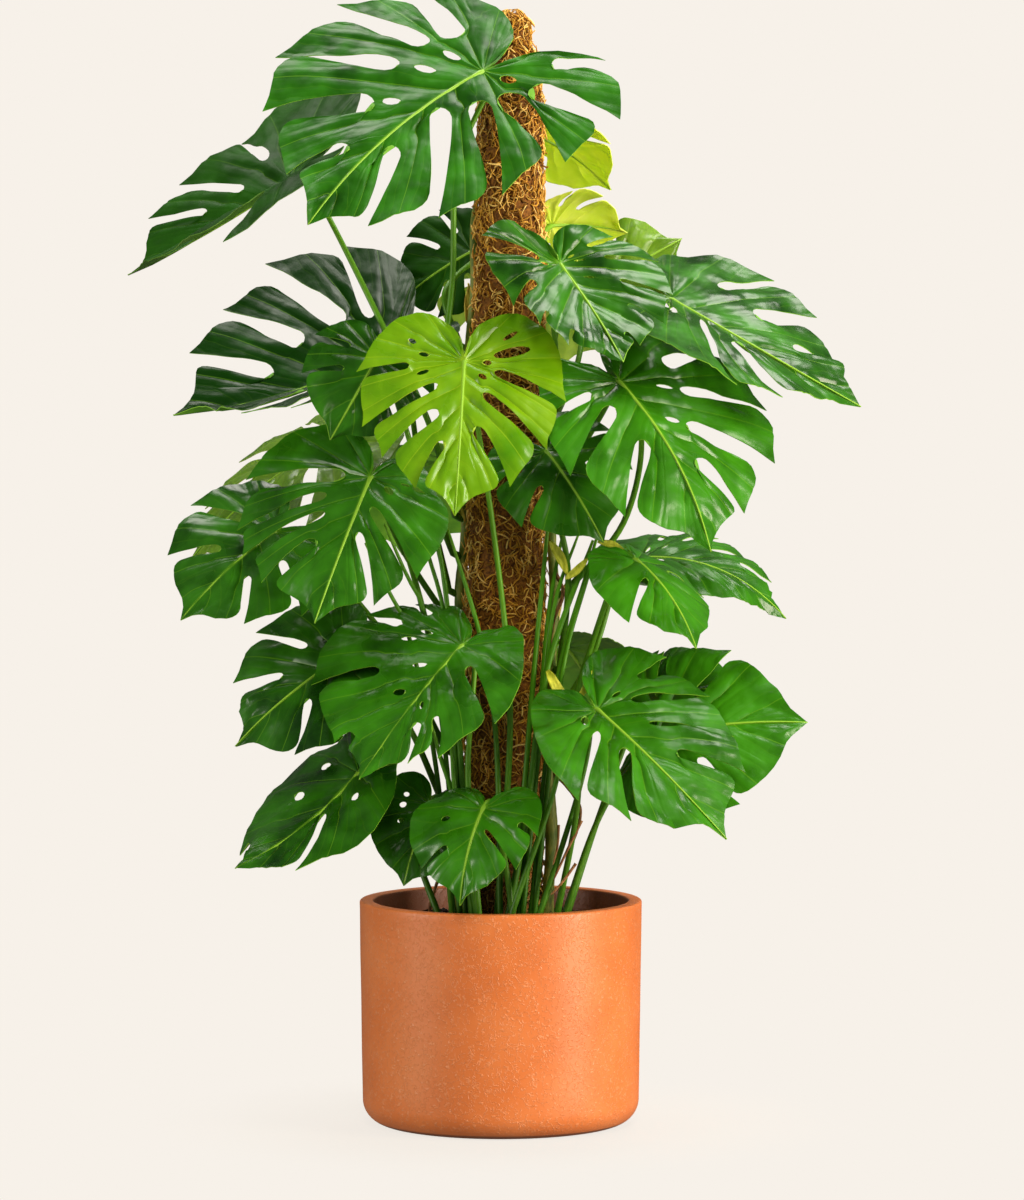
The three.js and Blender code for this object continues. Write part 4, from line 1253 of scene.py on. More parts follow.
@dataclass(frozen=True)
class Cut:
    """A line between two strips of a half blade, which may open in a slit, a hole or both.

    Its width is a share of the blade's length. A slit runs from inner, a share of the way out, to the
    margin, and inner is 1 where the line stays closed there.
    """

    angle: float
    inner: float = 1.0
    width: float = 0.05
    hole: float = 0.0
    half: float = 0.06

    def rows(self, count: int) -> Array:
        """Where the mesh has its rows along the line, close together at its openings' ends.

        Args:
            count: how many rows there are.

        Returns:
            Shares of the way out, in rising order.
        """
        marks = [0.0, 0.03, 0.075, 1.0]
        if self.hole:
            marks += [self.hole + self.half * k for k in (-1, -0.9, -0.5, 0.1, 0.6, 0.93, 1)]
        if self.inner < 1:
            marks += [self.inner + (1 - self.inner) * k for k in (0, 0.012, 0.05, 0.11, 0.9)]
        marks.sort()
        while len(marks) < count:
            gaps = np.diff(marks)
            widest = int(np.argmax(gaps))
            marks.insert(widest + 1, (marks[widest] + marks[widest + 1]) / 2)
        return np.array(marks)

    def opening(self, out: Array, hooked: bool) -> Array:
        """How far the line has opened, as a share of its width.

        Args:
            out: shares of the way out.
            hooked: whether this is the edge that ends in a hooked point.

        Returns:
            0 where it is closed, up to 1.
        """
        open_ = np.zeros_like(out)
        if self.inner < 1:
            way = (out - self.inner) / (1 - self.inner)
            near = np.clip(way / 0.13, 0, 1)
            open_ = np.sqrt(1 - (1 - near) ** 2) * (1.15 - 0.35 * smooth((way - 0.25) / 0.6))
            if hooked:
                open_ = open_ * (1 - 0.5 * smooth((way - 0.7) / 0.35))
        if self.hole:
            way = np.clip(np.abs(out - self.hole) / self.half, 0, 1)
            open_ = np.maximum(open_, (0.5 if self.inner < 1 else 1.0) * np.sqrt(1 - way**2))
        return open_


@dataclass(frozen=True)
class Climbing:
    """A leaf stalk that leaves a vine stem at a height."""

    stem: int
    height: float


@dataclass(frozen=True)
class Planted:
    """A leaf stalk that comes out of the soil at a place."""

    x: float
    y: float


@dataclass(frozen=True)
class Leaf:
    """One leaf: its place, its bends and its cuts, with the left half as seen with the tip down.

    The face is the way that the upper side looks: its turn to the right and its rise in degrees. Spread
    widens each half, and base lengthens its basal lobe. Fold, arch, droop, ripple and sway are heights
    as shares of the length, and tone makes the skin paler or darker.
    """

    name: str
    sinus: Point
    tip: Point
    face: tuple[float, float]
    left: tuple[Cut, ...]
    right: tuple[Cut, ...]
    root: Climbing | Planted
    route: tuple[Point, ...]
    age: LeafAge = LeafAge.MATURE
    spread: tuple[float, float] = (1, 1)
    base: tuple[float, float] = (1, 1)
    fold: float = 0.06
    arch: float = 0.06
    droop: float = 0.22
    ripple: float = 0.012
    sway: float = 0.0
    tone: float = 0.0


class BladeSurface:
    """The bent surface of a leaf's blade in space, the same as in the CAD part."""

    def __init__(self, leaf: Leaf) -> None:
        """Works out the blade's own directions.

        Args:
            leaf: the leaf that it belongs to.
        """
        self.leaf = leaf
        self.sinus = np.array(leaf.sinus, float)
        way = np.array(leaf.tip, float) - self.sinus
        self.length = float(np.linalg.norm(way))
        self.along = way / self.length
        turn, rise = np.radians(leaf.face)
        face = np.array([math.sin(turn) * math.cos(rise), -math.cos(turn) * math.cos(rise), math.sin(rise)])
        self.face = unit(face - self.along * self.along.dot(face))
        self.left = np.cross(self.along, self.face)

    def at(self, u: Array, v: Array) -> Array:
        """Places in space for places on the flat blade.

        Args:
            u: along the midrib, as shares of the length.
            v: across it, above 0 on the left half.

        Returns:
            The points in millimetres, one row each.
        """
        leaf = self.leaf
        u, v = np.asarray(u, float), np.asarray(v, float)
        left_half = v > 0
        bow = 1 - (2 * u - 1) ** 2
        angle = np.arctan2(np.abs(v), u)
        base = np.where(left_half, leaf.base[0], leaf.base[1])
        spread = np.where(left_half, leaf.spread[0], leaf.spread[1])
        lobe = 1 + (base - 1) * smooth((np.degrees(angle) - 70) / 40)
        phase = np.where(left_half, 0, 2) + leaf.sinus[0]
        waves = leaf.ripple * np.hypot(u, v) * np.sin(angle * 9 + phase)
        lift = leaf.arch * bow + leaf.fold * np.abs(v) - leaf.droop * v * v + waves
        sideways = v * lobe * spread + leaf.sway * bow
        return self.sinus + self.length * (
            (u * lobe)[..., None] * self.along + sideways[..., None] * self.left + lift[..., None] * self.face
        )

    def normal(self, u: Array, v: Array) -> Array:
        """The directions that the blade's upper side faces.

        Args:
            u: along the midrib, as shares of the length.
            v: across it.

        Returns:
            Directions of length 1, one row each.
        """
        step = 0.02
        du = self.at(u + step, v) - self.at(u - step, v)
        dv = self.at(u, v + step) - self.at(u, v - step)
        return unit(np.cross(dv, du))


@dataclass
class Foliage:
    """All the leaves: fine blades with veins in relief, cut and bent lobes, and stalks with midribs."""

    thickness: float = 0.9
    rows: int = 24
    vein_dip: float = 0.9
    valley: float = 3.4
    rib_dip: float = 1.2
    puff: float = 0.8
    lobe_bend: float = 8.0
    most_lobes: int = 12
    edge_curl: float = 3.0
    curl_reach: float = 16.0
    curl_limit: float = 4.0
    stalk_radius: float = 2.7
    stalk_foot_radius: float = 4.2
    stalk_rings: int = 30
    midrib_rings: int = 22
    stalk_sides: int = 10
    planted_depth: float = 38.0
    planted_rise: float = 44.0

    def lines(self, cuts: tuple[Cut, ...]) -> list[Cut]:
        """All the lines that part a half blade into strips, from the base to the tip.

        Args:
            cuts: the leaf's own cuts.

        Returns:
            The cuts, with a small hole near the midrib added where a strip would be wide.
        """
        found = [Cut(angle) for angle in BASE_LINES if angle > cuts[0].angle + 12]
        for i, cut in enumerate(cuts):
            if i and cuts[i - 1].angle - cut.angle > 36:
                found.append(Cut((cuts[i - 1].angle + cut.angle) / 2, width=0.035, hole=0.24))
            found.append(cut)
        return [*found, Cut(cuts[-1].angle * 0.5), Cut(0.0)]

    def strip(self, low: Cut, high: Cut, tag: tuple[int, float, float]) -> dict[str, Array]:
        """The grid of one strip of a flat half blade between two lines.

        Args:
            low: the line on its base side.
            high: the line on its tip side.
            tag: the lobe's number, and where the slits on its two sides start.

        Returns:
            Arrays of the same shape: u, v, the distance to its vein, the way out and the lobe's freedom.
        """
        shares = [0.0, 0.25, 0.42, 0.5, 0.58, 0.75, 1.0]
        if low.inner < 1:
            shares[1:2] = [0.035, 0.11, 0.25]
        if high.inner < 1:
            shares[-2:-1] = [0.78, 0.93]
        s = np.array(shares)[None]
        low_rows, high_rows = (line.rows(self.rows)[:, None] for line in (low, high))
        out = low_rows * (1 - s) + high_rows * s
        angle = low.angle * (1 - s) + high.angle * s + 0 * out
        inner = low.inner * (1 - s) + high.inner * s
        free = smooth((out - inner) / np.maximum(1 - inner, 0.05))
        trim = np.zeros_like(out)
        if low.inner < 1:
            corner = np.clip(1 - s / 0.4, 0, 1)
            trim = trim - 0.11 * (1 - np.sqrt(1 - corner**2))
        if high.inner < 1:
            trim = trim + 0.055 * np.clip((s - 0.5) / 0.5, 0, 1) ** 2
        u, v = spot(angle, out + trim * free)
        shift = low.opening(low_rows, False) * low.width * 0.6 * (1 - s)
        shift = shift - high.opening(high_rows, True) * high.width * 0.6 * s
        turn = np.radians(angle)
        u, v = u + shift * np.sin(turn), np.maximum(v - shift * np.cos(turn), 0)
        middle = shares.index(0.5)
        apart = np.hypot(u - u[:, middle : middle + 1], v - v[:, middle : middle + 1])
        lobe, low_start, high_start = tag
        start = low_start * (1 - s) + high_start * s
        loose = smooth((out - start) / np.maximum(1 - start, 0.05))
        return {"u": u, "v": v, "apart": apart, "out": out, "loose": loose, "lobe": np.full_like(u, lobe)}

    def half(self, cuts: tuple[Cut, ...], side: int) -> tuple[dict[str, Array], list]:
        """Joins the strips of a half blade where their lines are closed.

        Args:
            cuts: the half's cuts.
            side: 1 for the left half and -1 for the right one.

        Returns:
            One array for each of the strips' values, and the faces.
        """
        lines = self.lines(cuts)
        grids, faces, count, lobe = [], [], 0, 0
        for low, high in zip(lines, lines[1:]):
            lobe += low.inner < 1
            later = [c.inner for c in lines if c.angle <= high.angle and c.inner < 1]
            earlier = [c.inner for c in lines if c.angle >= low.angle and c.inner < 1]
            starts = (earlier[-1] if earlier else 0.4, later[0] if later else 1.0)
            grid = self.strip(low, high, (lobe, *starts))
            rows, columns = grid["u"].shape
            number = count + np.arange(rows * columns).reshape(rows, columns)
            quads = np.stack([number[:-1, :-1], number[1:, :-1], number[1:, 1:], number[:-1, 1:]], axis=-1)
            faces.append(quads.reshape(-1, 4)[:, ::side])
            grids.append({key: value.ravel() for key, value in grid.items()})
            count += rows * columns
        loose = {key: np.concatenate([g[key] for g in grids]) for key in grids[0]}
        key = np.round(np.column_stack([loose["u"], loose["v"]]) * 20000).astype(int)
        _, merged = np.unique(key, axis=0, return_inverse=True)
        merged = merged.ravel()
        total = np.bincount(merged)
        welded = {name: np.bincount(merged, values) / total for name, values in loose.items()}
        welded["v"] = welded["v"] * side
        kept = []
        for face in merged[np.vstack(faces)].tolist():
            corners = list(dict.fromkeys(face))
            if len(corners) > 2:
                kept.append(corners)
        return welded, kept

    def rib_radius(self, u: Array | float) -> Array | float:
        """The midrib's radius along the blade."""
        return 2.1 - 1.5 * np.minimum(u, 1) ** 0.8

    def blade(self, leaf: Leaf, surface: BladeSurface, number: int, skins: list[bpy.types.Material]) -> None:
        """Builds one blade.

        Args:
            leaf: the leaf.
            surface: its bent surface.
            number: the leaf's number, which its small random bends start from.
            skins: the materials of its upper side, its underside and its rim.
        """
        rng = np.random.default_rng(100 + number)
        tone = leaf.tone + rng.uniform(-0.1, 0.1)
        shapes, marks = [], {mark: [] for mark in BLADE_MARKS}
        for cuts, side in ((leaf.left, 1), (leaf.right, -1)):
            flat, faces = self.half(cuts, side)
            u, v, out = flat["u"], flat["v"], flat["out"]
            apart, off_rib = flat["apart"] * surface.length, np.abs(v) * surface.length
            bends = rng.uniform(-1, 1, self.most_lobes) * self.lobe_bend
            bend = bends[flat["lobe"].astype(int)] * flat["loose"]
            fade = (1 - 0.6 * out) * (1 - np.exp(-((off_rib / 5) ** 2)))
            dip = self.vein_dip * np.exp(-((apart / 1.7) ** 2)) + self.valley * np.exp(-apart / 8)
            bulge = self.puff * np.sin(off_rib / 7 + 3 * number) * np.clip(apart / 12, 0, 1)
            curl = self.edge_curl * flat["loose"] * (apart / self.curl_reach) ** 2
            curl = np.minimum(curl, self.curl_limit)
            lift = bend + bulge - curl - dip * fade - self.rib_dip * np.exp(-((off_rib / 7) ** 2))
            shapes.append((surface.at(u, v) + surface.normal(u, v) * lift[:, None], faces))
            marks["vein"].append(apart / (1.15 * (1 - 0.55 * out)) + 2 * (off_rib < 0.1))
            marks["rib"].append(off_rib / self.rib_radius(np.clip(u, 0, 1)))
            marks["lane"].append(apart)
            marks["tone"].append(np.full(len(u), tone))
        marks = {name: np.concatenate(values) for name, values in marks.items()}
        piece = sheet_piece(leaf.name + "_blade", *join_shapes(shapes), skins, marks)
        thicken(piece, self.thickness, -1, material_offset=1, material_offset_rim=2)
        smooth_by_angle(piece, 48)
        settle(piece, "young_leaf" if leaf.age in (LeafAge.YOUNG, LeafAge.LIME) else "leaf", leaf.name)

    def stalk(self, leaf: Leaf, surface: BladeSurface, skin: bpy.types.Material) -> None:
        """Builds a leaf's stalk, which goes on as the midrib of its blade.

        Args:
            leaf: the leaf.
            surface: its bent surface.
            skin: the stalk's material.
        """
        if isinstance(leaf.root, Planted):
            start = np.array([leaf.root.x, leaf.root.y, SOIL_TOP - self.planted_depth])
            rise = start + np.array([0, 0, self.planted_rise])
            first = self.stalk_foot_radius
        else:
            stem = STEMS[leaf.root.stem]
            start = stem.middle(leaf.root.height)
            radius = float(stem.radius_at(leaf.root.height))
            target = np.array(leaf.route[0], float) - start
            target[2] = 0
            away = unit(unit(target) + 0.9 * stem.out(leaf.root.height))
            rise = start + away * (radius + 6) + np.array([0, 0, 6.0])
            first = min(self.stalk_foot_radius, radius * 0.7)
        knee = surface.at(-0.03, 0.0) - 14 * surface.face - 6 * surface.along
        shares = np.linspace(0.012, 1.0, self.midrib_rings)
        ribs = self.rib_radius(shares)
        flat = np.zeros_like(shares)
        normals = surface.normal(shares, flat)
        midrib = surface.at(shares, flat) - normals * (1.2 + ribs - 0.75)[:, None]
        petiole = smooth_line([rise, *np.array(leaf.route, float), knee, midrib[0]], self.stalk_rings)
        line = np.vstack([start, petiole, midrib[1:]])
        way = np.concatenate([[0], np.linspace(0.02, 1, self.stalk_rings), 1 + shares[1:]])
        # The stalk thins towards the blade and swells into a knee just before it.
        share = np.linspace(0, 1, self.stalk_rings + 1)
        thick = first + (self.stalk_radius - first) * np.sqrt(share)
        thick = thick + 0.7 * np.exp(-(((share - 0.93) / 0.05) ** 2))
        points, faces = tube(line, np.concatenate([thick, ribs[1:]]), self.stalk_sides)
        marks = {"way": np.repeat(way, self.stalk_sides)}
        piece = sheet_piece(leaf.name + "_stalk", points, faces, [skin], marks)
        settle(piece, "stem", leaf.name)

    def build(self) -> None:
        """Builds every leaf."""
        skins = {age: age.skins() for age in LeafAge}
        green = StalkSkin("leaf_stalk_skin", "#346810", "#5c9814", "#8aba34").build()
        for number, leaf in enumerate(LEAVES):
            surface = BladeSurface(leaf)
            self.blade(leaf, surface, number, skins[leaf.age])
            self.stalk(leaf, surface, green)


@dataclass(frozen=True)
class Strand:
    """One thin thing in the crowd beside the pole: the points that it runs through and its radius."""

    path: tuple[Point, ...]
    radius: float = 2.6


@dataclass
class Crowd:
    """The crowd of leaf stalks beside the pole, with their dry yellow wraps and brown stubs."""

    rings: int = 26
    sides: int = 9
    paper_thickness: float = 0.5
    paper_rows: int = 14
    paper_columns: int = 5
    stalks: tuple[Strand, ...] = (
        Strand(((10, -62, 215), (24, -62, 350), (33, -60, 461), (51, -46, 651)), 3.0),
        Strand(((18, -58, 215), (40, -56, 430), (52, -50, 558), (68, -40, 642))),
        Strand(((22, -64, 215), (44, -62, 440), (58, -56, 561), (83, -48, 632))),
        Strand(((6, -68, 215), (28, -70, 340), (49, -64, 488), (97, -56, 623)), 3.4),
        Strand(((30, -56, 215), (60, -52, 480), (91, -46, 590), (109, -44, 652)), 2.3),
        Strand(((34, -60, 215), (60, -58, 453), (72, -54, 518), (86, -46, 565), (101, -44, 612))),
        Strand(((6, -84, 205), (12, -84, 232), (53, -78, 351), (70, -70, 420)), 3.0),
        Strand(((30, -72, 205), (38, -72, 223), (79, -62, 348), (92, -56, 400), (97, -54, 436)), 3.0),
        Strand(((0, -66, 215), (-6, -66, 430), (-21, -66, 521), (-55, -58, 634)), 2.8),
        Strand(((-30, -50, 215), (-45, -46, 430), (-56, -44, 552), (-65, -42, 613), (-84, -48, 680)), 3.0),
        Strand(((-36, -44, 215), (-50, -42, 430), (-61, -42, 553), (-74, -42, 600), (-94, -50, 665))),
        Strand(((-42, -40, 215), (-62, -40, 430), (-83, -44, 556), (-97, -46, 582), (-122, -54, 640))),
        Strand(((-48, -34, 215), (-76, -34, 430), (-104, -40, 543), (-117, -44, 567), (-142, -58, 620))),
        Strand(((-26, -70, 215), (-52, -72, 362), (-63, -74, 396), (-72, -78, 430)), 3.0),
        Strand(((-22, -74, 215), (-48, -78, 361), (-51, -80, 402), (-56, -84, 440))),
    )
    wraps: tuple[Strand, ...] = (
        Strand(((52, -60, 622), (62, -68, 606), (70, -66, 588)), 5.0),
        Strand(((68, -64, 583), (78, -70, 590), (91, -66, 604)), 4.0),
        Strand(((102, -60, 622), (120, -66, 616), (138, -62, 600)), 4.5),
        Strand(((49, -70, 487), (57, -76, 472), (71, -72, 453)), 5.5),
        Strand(((95, -64, 486), (90, -70, 470), (80, -68, 452)), 3.5),
    )
    stubs: tuple[Strand, ...] = (
        Strand(((85, -70, 329), (70, -72, 298), (55, -70, 265)), 1.5),
        Strand(((79, -74, 284), (66, -76, 266), (53, -74, 251)), 1.4),
        Strand(((61, -76, 325), (60, -78, 304), (55, -76, 283)), 1.2),
    )

    def sweep(self, name: str, strands: tuple[Strand, ...], skin: bpy.types.Material) -> None:
        """Makes one piece of tubes.

        Args:
            name: the piece's name.
            strands: what runs through it.
            skin: its material.
        """
        shapes, way = [], []
        for strand in strands:
            line = smooth_line([np.array(p, float) for p in strand.path], self.rings)
            share = np.linspace(0, 1, len(line))
            radii = strand.radius * (1.25 - 0.4 * share**0.6) * (1 - 0.5 * share**12)
            shapes.append(tube(line, radii, self.sides))
            way.append(np.repeat(0.05 + 0.9 * share, self.sides))
        piece = sheet_piece(name, *join_shapes(shapes), [skin], {"way": np.concatenate(way)})
        settle(piece, "stem")

    def papers(self) -> None:
        """Makes the dry wraps: thin cupped strips that taper to both ends."""
        shapes = []
        for i, wrap in enumerate(self.wraps):
            line = smooth_line([np.array(p, float) for p in wrap.path], self.paper_rows)
            along = unit(np.gradient(line, axis=0))
            across = unit(np.cross(along, np.array([0.3 * math.sin(i), -1.0, 0.4])))
            up = np.cross(across, along)
            share = np.linspace(0, 1, len(line))[:, None]
            place = np.linspace(-1, 1, self.paper_columns)[None]
            wide = wrap.radius * np.sin(np.pi * (0.06 + 0.9 * share)) ** 0.7
            cup = 0.5 * wide * place**2 + 0.7 * np.sin(9 * share + 3 * place + i)
            made = line[:, None] + (wide * place)[..., None] * across[:, None] + cup[..., None] * up[:, None]
            shapes.append((made.reshape(-1, 3), grid_faces(self.paper_rows, self.paper_columns)))
        skin = Mottled("papery_stalk_wrap", "#b6bc2a", "#f0ee52", 4.0, 0.6, 3.0, 0.5).build()
        piece = sheet_piece("papery_wraps", *join_shapes(shapes), [skin])
        thicken(piece, self.paper_thickness)
        settle(piece, "stem")

    def build(self) -> None:
        """Builds the stalks, the wraps and the stubs."""
        green = StalkSkin("crowd_stalk_skin", "#2c5c0c", "#4f9012", "#7cb026").build()
        self.sweep("crowd_stalks", self.stalks, green)
        brown = Mottled("dry_stalk_stub", "#7a4a20", "#b88450", 3.0, 0.8, 4.0).build()
        self.sweep("dry_stubs", self.stubs, brown)
        self.papers()


FEW_CUTS = (Cut(82, 0.45, 0.05), Cut(48, 0.42, 0.05))
SOME_CUTS = (Cut(88, 0.4, 0.05), Cut(58, 0.34, 0.055), Cut(32, 0.36, 0.05))

